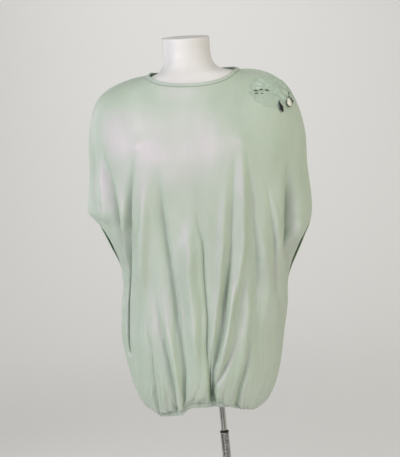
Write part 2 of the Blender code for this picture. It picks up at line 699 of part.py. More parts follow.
def make_stand(collection, chrome, plastic):
    bore = INNER_TUBE_RADIUS + SLIDE_CLEARANCE
    boss_bore = OUTER_TUBE_RADIUS + SEAM_GAP
    base = [(boss_bore, BASE_THICKNESS), (boss_bore, BOSS_TOP), (BOSS_RADIUS - 0.002, BOSS_TOP),
            (BOSS_RADIUS, BOSS_TOP - 0.004), (BOSS_RADIUS + 0.004, BASE_THICKNESS + 0.0045),
            (BOSS_FOOT_RADIUS, BASE_THICKNESS + 0.001),
            (BASE_RADIUS - BASE_RIM, BASE_THICKNESS - 0.001),
            (BASE_RADIUS - BASE_RIM / 4, BASE_THICKNESS - BASE_RIM / 2),
            (BASE_RADIUS, BASE_RIM), (BASE_RADIUS, 0.0)]
    make_solid_of_turn("base", base, BASE_SEGMENTS, collection, chrome)
    foot = BASE_THICKNESS + SEAM_GAP
    mouth = COLLAR_TOP - COLLAR_HEIGHT
    outer = tube_profile(OUTER_TUBE_RADIUS, INNER_TUBE_RADIUS + OUTER_TUBE_PLAY, foot, mouth)
    make_turned("outer_tube", outer, ROUND_SEGMENTS, collection, chrome)
    collar = [(COLLAR_RADIUS - 0.001, COLLAR_TOP), (COLLAR_RADIUS, COLLAR_TOP - 0.001),
              (COLLAR_RADIUS, mouth + SEAM_GAP), (bore, mouth + SEAM_GAP), (bore, COLLAR_TOP)]
    make_turned("collar", collar, ROUND_SEGMENTS, collection, plastic)
    under = FORM_BOTTOM - SEAM_GAP
    inner = tube_profile(INNER_TUBE_RADIUS, INNER_TUBE_RADIUS - TUBE_WALL,
                         INNER_TUBE_BOTTOM, under)
    make_turned("inner_tube", inner, ROUND_SEGMENTS, collection, chrome)
    flange = under - SOCKET_FLANGE_THICKNESS
    socket = [(SOCKET_FLANGE_RADIUS, under), (SOCKET_FLANGE_RADIUS, flange),
              (SOCKET_RADIUS, flange), (SOCKET_RADIUS, under - SOCKET_LENGTH),
              (bore, under - SOCKET_LENGTH), (bore, under)]
    make_turned("pole_socket", socket, ROUND_SEGMENTS, collection, chrome)


def make_solid_of_turn(name, profile, segments, collection, material):
    """A turned solid: the profile's first and last rings are closed by flat faces."""
    model = bmesh.new()
    rings = []
    for radius, height in profile:
        ring = []
        for step in range(segments):
            angle = 2 * math.pi * step / segments
            place = Vector((math.cos(angle), math.sin(angle), 0)) * radius
            ring.append(model.verts.new(place + Vector((0, 0, height))))
        rings.append(ring)
    for upper, lower in zip(rings, rings[1:]):
        for step in range(segments):
            after = (step + 1) % segments
            model.faces.new((upper[step], lower[step], lower[after], upper[after]))
    model.faces.new(rings[0])
    model.faces.new(rings[-1])
    bmesh.ops.recalc_face_normals(model, faces=model.faces)
    mesh = bpy.data.meshes.new(name)
    model.to_mesh(mesh)
    model.free()
    return add_object(name, mesh, material, collection)


def make_form_plate(collection, material):
    """The plate that closes the form from below and sits on the pole."""
    model = bmesh.new()
    rings = []
    for height in (FORM_BOTTOM, FORM_BOTTOM + PLATE_THICKNESS):
        ring = []
        for point in form_ring(FORM_LEVELS[-1], FORM_RING_POINTS):
            flat = Vector((point.x, point.y, 0))
            flat = flat * (1 - PLATE_INSET / flat.length)
            ring.append(model.verts.new(flat + Vector((0, 0, height))))
        rings.append(ring)
    low, high = rings
    for step in range(FORM_RING_POINTS):
        after = (step + 1) % FORM_RING_POINTS
        model.faces.new((low[step], low[after], high[after], high[step]))
    model.faces.new(low)
    model.faces.new(high)
    bmesh.ops.recalc_face_normals(model, faces=model.faces)
    mesh = bpy.data.meshes.new("form_plate")
    model.to_mesh(mesh)
    model.free()
    return add_object("form_plate", mesh, material, collection)


# ---------------------------------------------------------------- the whole part
def main():
    for old in list(bpy.data.objects):
        bpy.data.objects.remove(old, do_unlink=True)
    collection = bpy.data.collections.new("tunic_top_on_dress_form")
    bpy.context.scene.collection.children.link(collection)

    jersey = finish("jersey", (0.49, 0.57, 0.47), 0.75)
    band = finish("band_jersey", (0.52, 0.60, 0.51), 0.75)
    lace = finish("lace", (0.42, 0.54, 0.43), 0.85)
    white = finish("white_bead", (0.86, 0.82, 0.75), 0.25)
    dark = finish("dark_bead", (0.012, 0.013, 0.012), 0.2)
    gloss = finish("gloss_shell", (0.84, 0.84, 0.82), 0.15)
    chrome = finish("chrome", (0.62, 0.62, 0.60), 0.15, metallic=1.0)
    plastic = finish("black_plastic", (0.015, 0.015, 0.015), 0.4)

    make_stand(collection, chrome, plastic)
    make_form_plate(collection, gloss)
    form_surface = make_form(collection, gloss)
    front_panel = make_garment(form_surface, collection, jersey, band)
    shoulder = surface_of(front_panel)
    shoulder_lace = make_lace(shoulder, collection, lace)
    layers = (shoulder, surface_of(shoulder_lace))
    make_bead("white_bead", WHITE_BEAD, layers, collection, white)
    make_bead("dark_bead", DARK_BEAD, layers, collection, dark)


main()
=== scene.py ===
# %% [markdown]
# # A jersey tunic top on a dress form
#
# A soft sage-green tunic hangs on a white display form.  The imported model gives
# the frame: every CAD piece at its real size and place, in metres, with the front
# towards -Y.  Each cell below dresses one piece of it.  The cloth is the main job,
# so it gets the most room.

# %% Load the frame
import math

import bmesh
import bpy
import numpy as np
from mathutils import Matrix, Vector
from mathutils.bvhtree import BVHTree


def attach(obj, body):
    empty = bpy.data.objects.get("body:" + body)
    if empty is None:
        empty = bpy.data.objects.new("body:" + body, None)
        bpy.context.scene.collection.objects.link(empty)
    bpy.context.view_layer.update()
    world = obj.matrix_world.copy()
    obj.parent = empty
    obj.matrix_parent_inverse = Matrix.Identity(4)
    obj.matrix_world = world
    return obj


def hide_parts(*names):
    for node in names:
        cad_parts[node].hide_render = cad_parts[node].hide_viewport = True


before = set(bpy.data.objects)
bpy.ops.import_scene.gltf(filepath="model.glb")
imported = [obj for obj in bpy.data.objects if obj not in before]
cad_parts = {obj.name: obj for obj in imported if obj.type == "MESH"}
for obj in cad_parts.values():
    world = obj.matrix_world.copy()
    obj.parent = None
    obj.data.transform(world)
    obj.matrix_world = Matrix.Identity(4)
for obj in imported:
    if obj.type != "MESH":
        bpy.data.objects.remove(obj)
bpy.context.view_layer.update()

print("nodes:", ", ".join(sorted(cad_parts)))

# %% [markdown]
# ## Small helpers
#
# Every cloth piece is a grid of points: rows run down the garment and columns run
# round it.  A grid can be made into a mesh in one step, with a UV map in metres, so
# that a knit drawn in the UV map keeps its real size however the cloth is folded.

# %% Helpers for meshes


def unit(vectors):
    """The same directions, each of length one."""
    return vectors / np.maximum(np.linalg.norm(vectors, axis=-1, keepdims=True), 1e-12)


def smooth_step(value):
    """A smooth rise from 0 at 0 to 1 at 1, level on both sides."""
    value = np.clip(value, 0.0, 1.0)
    return value * value * (3 - 2 * value)


def as_object(name, mesh, body, slot, material, *nodes):
    """Links a mesh, and says what it rides on, what it replaces and its finish."""
    made = bpy.data.objects.new(name, mesh)
    bpy.context.scene.collection.objects.link(made)
    mesh.shade_smooth()
    mesh.materials.append(material)
    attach(made, body)
    if nodes:
        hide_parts(*nodes)
    return made


def grid_mesh(name, grid, uv, closed=False):
    """A mesh from points[row, column]; closed joins the last column to the first."""
    rows, columns = grid.shape[:2]
    spans = columns if closed else columns - 1
    r, c = np.meshgrid(np.arange(rows - 1), np.arange(spans), indexing="ij")
    r, c = r.ravel(), c.ravel()
    after = (c + 1) % columns
    faces = np.stack([r * columns + c, r * columns + after,
                      (r + 1) * columns + after, (r + 1) * columns + c], axis=1)
    mesh = bpy.data.meshes.new(name)
    mesh.from_pydata(grid.reshape(-1, 3).tolist(), [], faces.tolist())
    mesh.update()
    layer = mesh.uv_layers.new(name="cloth_metres")
    corner_rows = np.stack([r, r, r + 1, r + 1], axis=1).ravel()
    corner_columns = np.stack([c, c + 1, c + 1, c], axis=1).ravel()
    layer.data.foreach_set("uv", uv[corner_rows, corner_columns].ravel().astype(np.float32))
    return mesh


def path_runs(path):
    """The length along a path up to each of its points."""
    return np.concatenate([[0], np.cumsum(np.linalg.norm(np.diff(path, axis=0), axis=1))])


def row_runs(grid):
    """The length along each row of a grid up to each of its points."""
    steps = np.linalg.norm(np.diff(grid, axis=1), axis=2)
    return np.concatenate([np.zeros((len(grid), 1)), np.cumsum(steps, axis=1)], axis=1)


def row_drops(grid):
    """How far down a grid each row lies, as a mean over its columns."""
    down = np.linalg.norm(np.diff(grid, axis=0), axis=2).mean(axis=1)
    return np.concatenate([[0], np.cumsum(down)])


def cloth_metres(grid, closed=False):
    """UV places in metres: across the cloth at its widest, and down its rows."""
    ring = np.concatenate([grid, grid[:, :1]], axis=1) if closed else grid
    across = np.linalg.norm(np.diff(ring, axis=1), axis=2).max(axis=0)
    u = np.concatenate([[0], np.cumsum(across)])
    return np.stack(np.meshgrid(u, -row_drops(ring), indexing="xy"), axis=2)


def grid_normals(grid):
    """Unit normals of an open grid, to the left of its rows seen from outside."""
    return unit(np.cross(np.gradient(grid, axis=1), np.gradient(grid, axis=0)))


# %% [markdown]
# ## The camera
#
# The form is seen from chest height, a few steps away, from a little to its left
# side, with the camera held slightly aslant.  A long lens keeps the sides parallel.
# The image is 400 by 457 pixels and its longer side sets the field of view: the
# lens follows from the distance and from how many metres a pixel covers there.

# %% Camera
IMAGE_HEIGHT = 457
METRES_PER_PIXEL = 0.0024
SENSOR_MM = 36
DISTANCE = 2.8
CAMERA_HEIGHT = 1.21
CAMERA_YAW = math.radians(9.0)
CAMERA_ROLL = math.radians(5.68)
AIM = Vector((-0.0104, 0.0, 1.045))


def add_camera():
    """The main camera, turned about its own axis once it looks at its aim."""
    data = bpy.data.cameras.new("camera")
    data.sensor_width = SENSOR_MM
    data.lens = SENSOR_MM * DISTANCE / (IMAGE_HEIGHT * METRES_PER_PIXEL)
    camera = bpy.data.objects.new("camera", data)
    bpy.context.scene.collection.objects.link(camera)
    away = Vector((math.sin(CAMERA_YAW), -math.cos(CAMERA_YAW), 0))
    camera.location = AIM + away * DISTANCE
    camera.location.z = CAMERA_HEIGHT
    look = (AIM - camera.location).to_track_quat("-Z", "Y").to_matrix().to_4x4()
    camera.matrix_world = (Matrix.Translation(camera.location) @ look
                           @ Matrix.Rotation(-CAMERA_ROLL, 4, "Z"))
    bpy.context.scene.camera = camera
    return camera


camera = add_camera()
print("lens", round(camera.data.lens, 1), "mm")

# %% [markdown]
# ## Floor, backdrop and light
#
# A pale sweep of paper, floor and wall in one, is the usual studio ground: its
# round corner leaves no horizon line.  It is one profile drawn out sideways.
# Soft boxes do the lighting.  The key stands well to the left so that folds cast
# shade, and a weaker one in front gives the sheen on the chest.  A warm fill on the
# right keeps the shadows open, and it is kept out of reflections, because a second
# sheen would flatten the folds.  A faint glow from behind lights the edge of the
# sleeve, and two boxes wash the wall.

# %% Sweep
FLOOR_FRONT, FLOOR_BACK = -9.0, 4.0
SWEEP_RADIUS, SWEEP_HEIGHT, SWEEP_HALF_WIDTH = 4.0, 9.0, 11.0
SWEEP_STEPS = 24


def add_sweep(material):
    """Floor, round corner and wall as one strip, which carries no part of the object."""
    profile = [(FLOOR_FRONT, 0.0)]
    for step in range(SWEEP_STEPS + 1):
        turn = math.pi / 2 * step / SWEEP_STEPS
        profile.append((FLOOR_BACK + SWEEP_RADIUS * math.sin(turn),
                        SWEEP_RADIUS * (1 - math.cos(turn))))
    profile.append((FLOOR_BACK + SWEEP_RADIUS, SWEEP_HEIGHT))
    sides = np.array([[(x, y, z) for y, z in profile]
                      for x in (-SWEEP_HALF_WIDTH, SWEEP_HALF_WIDTH)])
    mesh = grid_mesh("sweep", sides, cloth_metres(sides))
    mesh.shade_smooth()
    mesh.materials.append(material)
    sweep = bpy.data.objects.new("sweep", mesh)
    bpy.context.scene.collection.objects.link(sweep)


paper = bpy.data.materials.new("paper")
paper.use_nodes = True
paper_shader = paper.node_tree.nodes["Principled BSDF"]
paper_shader.inputs["Base Color"].default_value = (0.80, 0.795, 0.785, 1)
paper_shader.inputs["Roughness"].default_value = 0.9
add_sweep(paper)
print("sweep in", paper.name)

# %% Lights


def add_softbox(name, place, aim, size, watts, colour):
    """A rectangular light that faces its aim."""
    data = bpy.data.lights.new(name, "AREA")
    data.shape = "RECTANGLE"
    data.size, data.size_y = size
    data.energy = watts
    data.color = colour
    light = bpy.data.objects.new(name, data)
    bpy.context.scene.collection.objects.link(light)
    light.location = place
    towards = Vector(aim) - Vector(place)
    light.rotation_euler = towards.to_track_quat("-Z", "Y").to_euler()
    return light


CHEST = (0.0, 0.0, 1.12)
add_softbox("key", (-1.85, -1.90, 2.25), CHEST, (1.1, 1.2), 48, (1.0, 0.98, 1.0))
add_softbox("front", (-0.45, -2.75, 1.85), CHEST, (1.3, 1.3), 22, (1.0, 0.97, 1.0))
fill = add_softbox("fill", (2.45, -1.3, 2.1), CHEST, (1.2, 1.6), 48, (1.0, 0.89, 0.73))
fill.visible_glossy = False
add_softbox("back_glow", (-1.9, 1.3, 1.5), (-0.15, 0.05, 1.05), (0.9, 1.4), 6, (1.0, 1.0, 1.0))
add_softbox("wall_wash", (-1.4, 4.4, 4.8), (-0.6, 7.2, 1.6), (3.0, 1.2), 78, (1.0, 1.0, 1.0))
add_softbox("warm_wash", (3.2, 2.6, 2.6), (2.2, 6.5, 0.6), (1.5, 1.5), 22, (1.0, 0.96, 0.70))
world = bpy.data.worlds.new("studio")
world.use_nodes = True
background = world.node_tree.nodes["Background"]
background.inputs["Color"].default_value = (0.96, 0.97, 0.96, 1)
background.inputs["Strength"].default_value = 0.36
bpy.context.scene.world = world
bpy.context.scene.view_settings.view_transform = "Standard"
print("lights:", len(bpy.data.lights))

# %% [markdown]
# Two low black cards stand beside the camera.  Chrome has no look of its own: it
# shows what is round it, and in an all-white room it turns to flat grey.  The cards
# give the pole its dark stripes, and only reflections see them.

# %% Cards for the chrome
CARD_PLACES = ((-0.95, -0.75), (0.75, -0.95))
CARD_HALF_WIDTH, CARD_FOOT, CARD_HEIGHT = 0.26, 0.02, 0.50


def add_card(place, material):
    """An upright card that faces the stand and shows in reflections only."""
    x, y = place
    side = np.array((-y, x)) / math.hypot(x, y) * CARD_HALF_WIDTH
    grid = np.array([[(x + s * side[0], y + s * side[1], z) for s in (-1, 1)]
                     for z in (CARD_FOOT, CARD_HEIGHT)])
    mesh = grid_mesh("card", grid, cloth_metres(grid))
    mesh.materials.append(material)
    card = bpy.data.objects.new("card", mesh)
    bpy.context.scene.collection.objects.link(card)
    card.visible_camera = False
    card.visible_diffuse = False
    card.visible_shadow = False
    card.visible_transmission = False


black_card = bpy.data.materials.new("black_card")
black_card.use_nodes = True
card_shader = black_card.node_tree.nodes["Principled BSDF"]
card_shader.inputs["Base Color"].default_value = (0.01, 0.01, 0.01, 1)
card_shader.inputs["Roughness"].default_value = 0.9
for place in CARD_PLACES:
    add_card(place, black_card)
print("dark cards:", len(CARD_PLACES))

# %% [markdown]
# ## Finishes
#
# Node helpers first.  A small function for each kind of node keeps the materials
# below readable: what a material says is which pattern goes into which socket.

# %% Node helpers


def add_socket(group, name, direction, value=0.0):
    """A named number that goes into or comes out of a node group."""
    made = group.interface.new_socket(name=name, in_out=direction,
                                      socket_type="NodeSocketFloat")
    made.default_value = value


def feed(tree, target, value):
    """Sets a socket, or links it to another node's output."""
    if isinstance(value, (int, float)):
        target.default_value = value
    elif isinstance(value, tuple):
        target.default_value = (*value, 1) if len(target.default_value) == 4 else value
    else:
        tree.links.new(value, target)


def math_node(tree, operation, *values):
    """The result of one sum on numbers or on other nodes' outputs."""
    node = tree.nodes.new("ShaderNodeMath")
    node.operation = operation
    for place, value in enumerate(values):
        feed(tree, node.inputs[place], value)
    return node.outputs[0]


def noise_node(tree, vector, scale, detail=2.0, roughness=0.5):
    """Smooth noise from 0 to 1; the scale is in noise cells a metre."""
    node = tree.nodes.new("ShaderNodeTexNoise")
    for name, value in (("Vector", vector), ("Scale", scale), ("Detail", detail),
                        ("Roughness", roughness)):
        feed(tree, node.inputs[name], value)
    return node.outputs["Fac"]


def stretched(tree, vector, scale):
    """Places scaled along each axis, so that a low scale draws a pattern out."""
    node = tree.nodes.new("ShaderNodeMapping")
    node.inputs["Scale"].default_value = scale
    tree.links.new(vector, node.inputs["Vector"])
    return node.outputs[0]


def spread(tree, value, low, high):
    """Stretches the values from low to high over the whole of 0 to 1."""
    node = tree.nodes.new("ShaderNodeMapRange")
    feed(tree, node.inputs["Value"], value)
    feed(tree, node.inputs["From Min"], low)
    feed(tree, node.inputs["From Max"], high)
    return node.outputs[0]


def mix_colour(tree, mask, low, high):
    """One colour where the mask is 0, and the other where it is 1."""
    node = tree.nodes.new("ShaderNodeMix")
    node.data_type = "RGBA"
    feed(tree, node.inputs["Factor"], mask)
    feed(tree, node.inputs[6], low)
    feed(tree, node.inputs[7], high)
    return node.outputs[2]


def bump_node(tree, height, strength, distance, normal=None):
    """A normal tilted by a height, on top of another bump if one is given."""
    node = tree.nodes.new("ShaderNodeBump")
    node.inputs["Strength"].default_value = strength
    node.inputs["Distance"].default_value = distance
    feed(tree, node.inputs["Height"], height)
    if normal is not None:
        tree.links.new(normal, node.inputs["Normal"])
    return node.outputs[0]


def new_material(name, roughness, **constants):
    """A material whose constant sockets are set straight on its Principled BSDF."""
    material = bpy.data.materials.new(name)
    material.use_nodes = True
    shader = material.node_tree.nodes["Principled BSDF"]
    shader.inputs["Roughness"].default_value = roughness
    for key, value in constants.items():
        feed(None, shader.inputs[key.replace("_", " ")], value)
    return material, material.node_tree, shader.inputs


def place_group(tree, group, **values):
    """The outputs of a shared group whose sockets are set by name."""
    node = tree.nodes.new("ShaderNodeGroup")
    node.node_tree = group
    for key, value in values.items():
        node.inputs[key.replace("_", " ")].default_value = value
    return node.outputs


def object_places(tree):
    """Places in the object's own metres, which don't move when a pose does."""
    return tree.nodes.new("ShaderNodeTexCoord").outputs["Object"]


# %% [markdown]
# ## Two shared effects
#
# Fine jersey shows rows of tiny V-shaped stitches close up, and from a step away
# only a soft unevenness down the wales.  The jersey and the bands share that, so it is
# one node group, `knit`.  It reads the UV map, which is in metres of cloth.  The second
# group, `handling`, is the faint cloudiness and the fine lengthwise rubbing that
# the form, the tubes, the collar and the beads all pick up in a shop.

# %% The knit group
WALES_PER_METRE, COURSES_PER_METRE = 1500.0, 2000.0
LOOP_SHARE = 0.35
STREAK_SCALE, STREAK_STRETCH = 300.0, (1.0, 0.05, 1.0)
CLOUD_SCALE, CLOUD_STRETCH, CLOUD_RANGE = 11.0, (1.0, 0.5, 1.0), (0.32, 0.68)


def make_knit_group():
    """Stitches, slub and a soft unevenness of the dye, all from the UV map."""
    group = bpy.data.node_groups.new("knit", "ShaderNodeTree")
    add_socket(group, "Wales per metre", "INPUT", value=WALES_PER_METRE)
    add_socket(group, "Courses per metre", "INPUT", value=COURSES_PER_METRE)
    add_socket(group, "Slub", "INPUT", value=0.5)
    for name in ("Stitch height", "Slub height", "Shade"):
        add_socket(group, name, "OUTPUT")
    inside = group.nodes.new("NodeGroupInput").outputs
    outside = group.nodes.new("NodeGroupOutput").inputs
    places = group.nodes.new("ShaderNodeUVMap")
    places.uv_map = "cloth_metres"
    split = group.nodes.new("ShaderNodeSeparateXYZ")
    group.links.new(places.outputs[0], split.inputs[0])
    wale = math_node(group, "MULTIPLY", split.outputs["X"], inside["Wales per metre"])
    course = math_node(group, "MULTIPLY", split.outputs["Y"], inside["Courses per metre"])
    across = math_node(group, "ABSOLUTE",
                       math_node(group, "SUBTRACT", math_node(group, "FRACT", wale), 0.5))
    vee = math_node(group, "ADD", course, across)
    loop = math_node(group, "SINE", math_node(group, "MULTIPLY", vee, 2 * math.pi))
    rib = math_node(group, "COSINE", math_node(group, "MULTIPLY", across, 2 * math.pi))
    stitch = math_node(group, "MULTIPLY_ADD", loop, LOOP_SHARE, rib)
    along_wales = stretched(group, places.outputs[0], STREAK_STRETCH)
    streak = noise_node(group, along_wales, STREAK_SCALE, 3.0)
    broad = stretched(group, places.outputs[0], CLOUD_STRETCH)
    cloud = noise_node(group, broad, CLOUD_SCALE, 4.0)
    slub = math_node(group, "MULTIPLY", math_node(group, "SUBTRACT", streak, 0.5), inside["Slub"])
    shade = math_node(group, "ADD", spread(group, cloud, *CLOUD_RANGE), slub)
    group.links.new(stitch, outside["Stitch height"])
    group.links.new(slub, outside["Slub height"])
    group.links.new(shade, outside["Shade"])
    return group


knit_group = make_knit_group()
print("wales:", WALES_PER_METRE, "courses:", COURSES_PER_METRE, "a metre")

# %% The handling group
RUB_STRETCH, RUB_RANGE, HAZE_RANGE, RUB_HEIGHT = (1.0, 1.0, 0.03), (0.35, 0.75), (0.3, 0.7), 0.3


def make_handling_group():
    """A faint cloudiness and fine upright rubbing, from the object's own places."""
    group = bpy.data.node_groups.new("handling", "ShaderNodeTree")
    add_socket(group, "Cloud scale", "INPUT", value=14.0)
    add_socket(group, "Rub scale", "INPUT", value=900.0)
    for name in ("Cloud", "Rub", "Height"):
        add_socket(group, name, "OUTPUT")
    inside = group.nodes.new("NodeGroupInput").outputs
    outside = group.nodes.new("NodeGroupOutput").inputs
    places = object_places(group)
    haze = noise_node(group, places, inside["Cloud scale"], 4.0, 0.6)
    cloud = spread(group, haze, *HAZE_RANGE)
    lengthwise = stretched(group, places, RUB_STRETCH)
    lines = noise_node(group, lengthwise, inside["Rub scale"], 3.0, 0.6)
    rub = spread(group, lines, *RUB_RANGE)
    height = math_node(group, "MULTIPLY_ADD", rub, RUB_HEIGHT, cloud)
    group.links.new(cloud, outside["Cloud"])
    group.links.new(rub, outside["Rub"])
    group.links.new(height, outside["Height"])
    return group


handling_group = make_handling_group()
print("shared groups:", knit_group.name, "and", handling_group.name)

# %% [markdown]
# ## Hard finishes
#
# The form, the tubes, the collar and the beads differ in colour and in how polished
# they are, but handling shows on all of them in the same three ways: the colour is a
# little cloudy, rubbed lines are duller, and both stand a little proud.  One function
# makes them all, so a finish below is only its colours and its numbers.

# %% A finish that shows handling


def make_handled(name, roughness, colours, scales, rub, bump, **constants):
    """A hard finish that shows handling in its colour, its gloss and its surface.

    The scales are the cloud's and the rubbing's.  rub is what the rubbing adds to the
    roughness, and the roughness without it.  bump is its strength and its depth.
    """
    material, tree, sockets = new_material(name, roughness, **constants)
    handling = place_group(tree, handling_group, Cloud_scale=scales[0], Rub_scale=scales[1])
    feed(tree, sockets["Base Color"], mix_colour(tree, handling["Cloud"], *colours))
    feed(tree, sockets["Roughness"], math_node(tree, "MULTIPLY_ADD", handling["Rub"], *rub))
    feed(tree, sockets["Normal"], bump_node(tree, handling["Height"], *bump))
    return material


# %% [markdown]
# ## The jersey
#
# Fine viscose jersey has a soft, wide shine that doesn't take up the green of the
# dye, so where light glances off a fold the cloth turns to a pale, almost lilac
# grey.  A tinted specular layer gives that turn of colour; a sheen layer alone only
# pales the edges.  A little subsurface light stands for how thin the cloth is.  The
# bands are the same jersey folded double, a little darker and greyer, and duller.

# %% Jersey
JERSEY_LIGHT, JERSEY_DARK = (0.412, 0.524, 0.412), (0.360, 0.468, 0.356)
# The bands' colours are a little darker and greyer than the jersey's.
BAND_LIGHT, BAND_DARK = (0.405, 0.495, 0.412), (0.360, 0.452, 0.366)


def make_jersey(name, light, dark, slub, gloss):
    """Sage jersey between two shades, with its slub and the weight of its shine."""
    material, tree, sockets = new_material(
        name, 0.4, Sheen_Weight=0.10, Sheen_Roughness=0.4, Sheen_Tint=(0.9, 1.0, 0.88),
        Subsurface_Weight=0.3, Subsurface_Radius=(0.7, 1.0, 0.6), Subsurface_Scale=0.006,
        Specular_IOR_Level=gloss, Specular_Tint=(1.0, 0.34, 1.0))
    knit = place_group(tree, knit_group, Slub=slub)
    feed(tree, sockets["Base Color"], mix_colour(tree, knit["Shade"], dark, light))
    coarse = bump_node(tree, knit["Slub height"], 0.35, 0.0008)
    feed(tree, sockets["Normal"], bump_node(tree, knit["Stitch height"], 0.3, 0.00012, coarse))
    rough = math_node(tree, "MULTIPLY_ADD", knit["Shade"], -0.06, 0.42)
    feed(tree, sockets["Roughness"], rough)
    return material


jersey = make_jersey("jersey", JERSEY_LIGHT, JERSEY_DARK, slub=0.5, gloss=1.0)
band_jersey = make_jersey("band_jersey", BAND_LIGHT, BAND_DARK, slub=0.2, gloss=0.3)
print("cloth finishes:", jersey.name, band_jersey.name)

# %% [markdown]
# ## The form
#
# The white form is a smooth moulded shell.  The same short table of rings as its
# solid gives its shape; here each ring has more points and a curve runs through the
# table, so that the gloss shows no facets.  The neck is cut off a little aslant, lower
# in front and towards the wearer's left, and has a flat cap with a groove round it.

# %% Form sizes
# Each row is z, half width, foremost y, rearmost y.
FORM_LEVELS = np.array((
    (1.5020, 0.0545, -0.055, 0.055),
    (1.4980, 0.0565, -0.057, 0.057),
    (1.4600, 0.0560, -0.056, 0.058),
    (1.4400, 0.0600, -0.060, 0.062),
    (1.4250, 0.0720, -0.064, 0.067),
    (1.4160, 0.0950, -0.068, 0.071),
    (1.4080, 0.1280, -0.072, 0.075),
    (1.3970, 0.1560, -0.077, 0.081),
    (1.3820, 0.1750, -0.083, 0.088),
    (1.3600, 0.1860, -0.091, 0.096),
    (1.3200, 0.1900, -0.101, 0.105),
    (1.2800, 0.1870, -0.109, 0.110),
    (1.2400, 0.1800, -0.113, 0.110),
    (1.2000, 0.1710, -0.110, 0.106),
    (1.1500, 0.1580, -0.099, 0.097),
    (1.0600, 0.1430, -0.086, 0.083),
    (0.9800, 0.1500, -0.092, 0.095),
    (0.9000, 0.1640, -0.102, 0.113),
    (0.8400, 0.1670, -0.103, 0.115),
    (0.7900, 0.1620, -0.098, 0.108),
))
NECK_CUT_SLOPE, NECK_CUT_LEAN = 0.16, -0.065
NECK_CUT_FOOT, NECK_CUT_FADE = 1.460, 0.038
BUST_X, BUST_Z = 0.092, 1.236
BUST_WIDTH, BUST_HEIGHT, BUST_RISE = 0.052, 0.062, 0.026
BUST_UPPER_SLOPE, BUST_SIDE_FADE = 1.35, 0.7
FORM_SHELL = 0.0035
FORM_RING_POINTS, FORM_STEPS = 96, 4


def read_table(table, levels):
    """Smooth readings between the rows of a table, one for each fractional row."""
    last = len(table) - 1
    levels = np.clip(levels, 0, last)
    low = np.minimum(levels.astype(int), last - 1)
    part = (levels - low)[:, None]
    before, start, end, after = (table[np.clip(low + step, 0, last)] for step in (-1, 0, 1, 2))
    rise_in, rise_out = (end - before) / 2, (after - start) / 2
    cube = 2 * start - 2 * end + rise_in + rise_out
    square = 3 * end - 3 * start - 2 * rise_in - rise_out
    return cube * part ** 3 + square * part ** 2 + rise_in * part + start


def steps_between(table, steps):
    """Readings at every row of a table, with so many steps from row to row."""
    last = len(table) - 1
    return read_table(table, np.linspace(0, last, last * steps + 1))


def bust(x, z, width, height):
    """A soft rise, up to one, over each of the two sides of the bust."""
    slope = np.where(z < BUST_Z, height, height * BUST_UPPER_SLOPE)
    return sum(np.exp(-((x - centre) / width) ** 2 - ((z - BUST_Z) / slope) ** 2)
               for centre in (-BUST_X, BUST_X))


def form_points():
    """The form's rings, with the bust raised and the neck cut aslant."""
    rows = steps_between(FORM_LEVELS, FORM_STEPS)
    angle = 2 * np.pi * np.arange(FORM_RING_POINTS) / FORM_RING_POINTS
    z = rows[:, :1] + 0 * angle
    x = rows[:, 1:2] * np.cos(angle)
    front = np.sin(angle) < 0
    y = np.where(front, -rows[:, 2:3], rows[:, 3:4]) * np.sin(angle)
    rise = BUST_RISE * bust(x, z, BUST_WIDTH, BUST_HEIGHT)
    y = y - np.where(front, rise * np.abs(np.sin(angle)) ** BUST_SIDE_FADE, 0)
    near_cut = smooth_step((z - NECK_CUT_FOOT) / NECK_CUT_FADE)
    z = z + (NECK_CUT_SLOPE * y + NECK_CUT_LEAN * x) * near_cut
    return np.stack([x, y, z], axis=2)


form_grid = form_points()
print("form rings:", len(form_grid), "of", FORM_RING_POINTS, "points")

# %% The form's finish
GLOSS_COLOURS = (0.55, 0.55, 0.547), (0.60, 0.60, 0.597)

gloss_white = make_handled("gloss_white", 0.4, GLOSS_COLOURS, scales=(12.0, 420.0),
                           rub=(0.12, 0.42), bump=(0.08, 0.0008),
                           Coat_Weight=0.15, Coat_Roughness=0.45)
print("form finish:", gloss_white.name)

# %% Form shell
# Each ring of the neck's cap is its share of the rim's size, and its drop.
NECK_CAP_RINGS = ((0.975, 0.0), (0.955, -0.0012), (0.935, 0.0), (0.5, 0.0))


def close_neck(model, rim):
    """Closes the neck with a flat cap that has a fine groove inside its rim."""
    middle = sum((v.co for v in rim), Vector()) / len(rim)
    outer = rim
    for share, drop in NECK_CAP_RINGS:
        inner = [model.verts.new(v.co.lerp(middle, 1 - share) + Vector((0, 0, drop)))
                 for v in rim]
        for c in range(len(rim)):
            after = (c + 1) % len(rim)
            model.faces.new((outer[c], outer[after], inner[after], inner[c]))
        outer = inner
    hub = model.verts.new(middle)
    for c in range(len(rim)):
        model.faces.new((outer[c], outer[(c + 1) % len(rim)], hub))


def make_form_shell(material):
    """The shell with its neck closed; Solidify gives it its wall."""
    uv = cloth_metres(form_grid, closed=True)
    mesh = grid_mesh("form_shell", form_grid[:, ::-1], uv, closed=True)
    model = bmesh.new()
    model.from_mesh(mesh)
    model.verts.ensure_lookup_table()
    close_neck(model, [model.verts[c] for c in range(FORM_RING_POINTS)])
    bmesh.ops.recalc_face_normals(model, faces=model.faces)
    model.to_mesh(mesh)
    model.free()
    shell = as_object("form_shell", mesh, "form", "form_shell", material, "form_torso")
    wall = shell.modifiers.new("wall", "SOLIDIFY")
    wall.thickness = FORM_SHELL
    wall.offset = -1
    return shell


form_shell = make_form_shell(gloss_white)
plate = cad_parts["form_plate"]
plate.data.materials.clear()
plate.data.materials.append(gloss_white)
print("form shell:", len(form_shell.data.polygons), "faces")
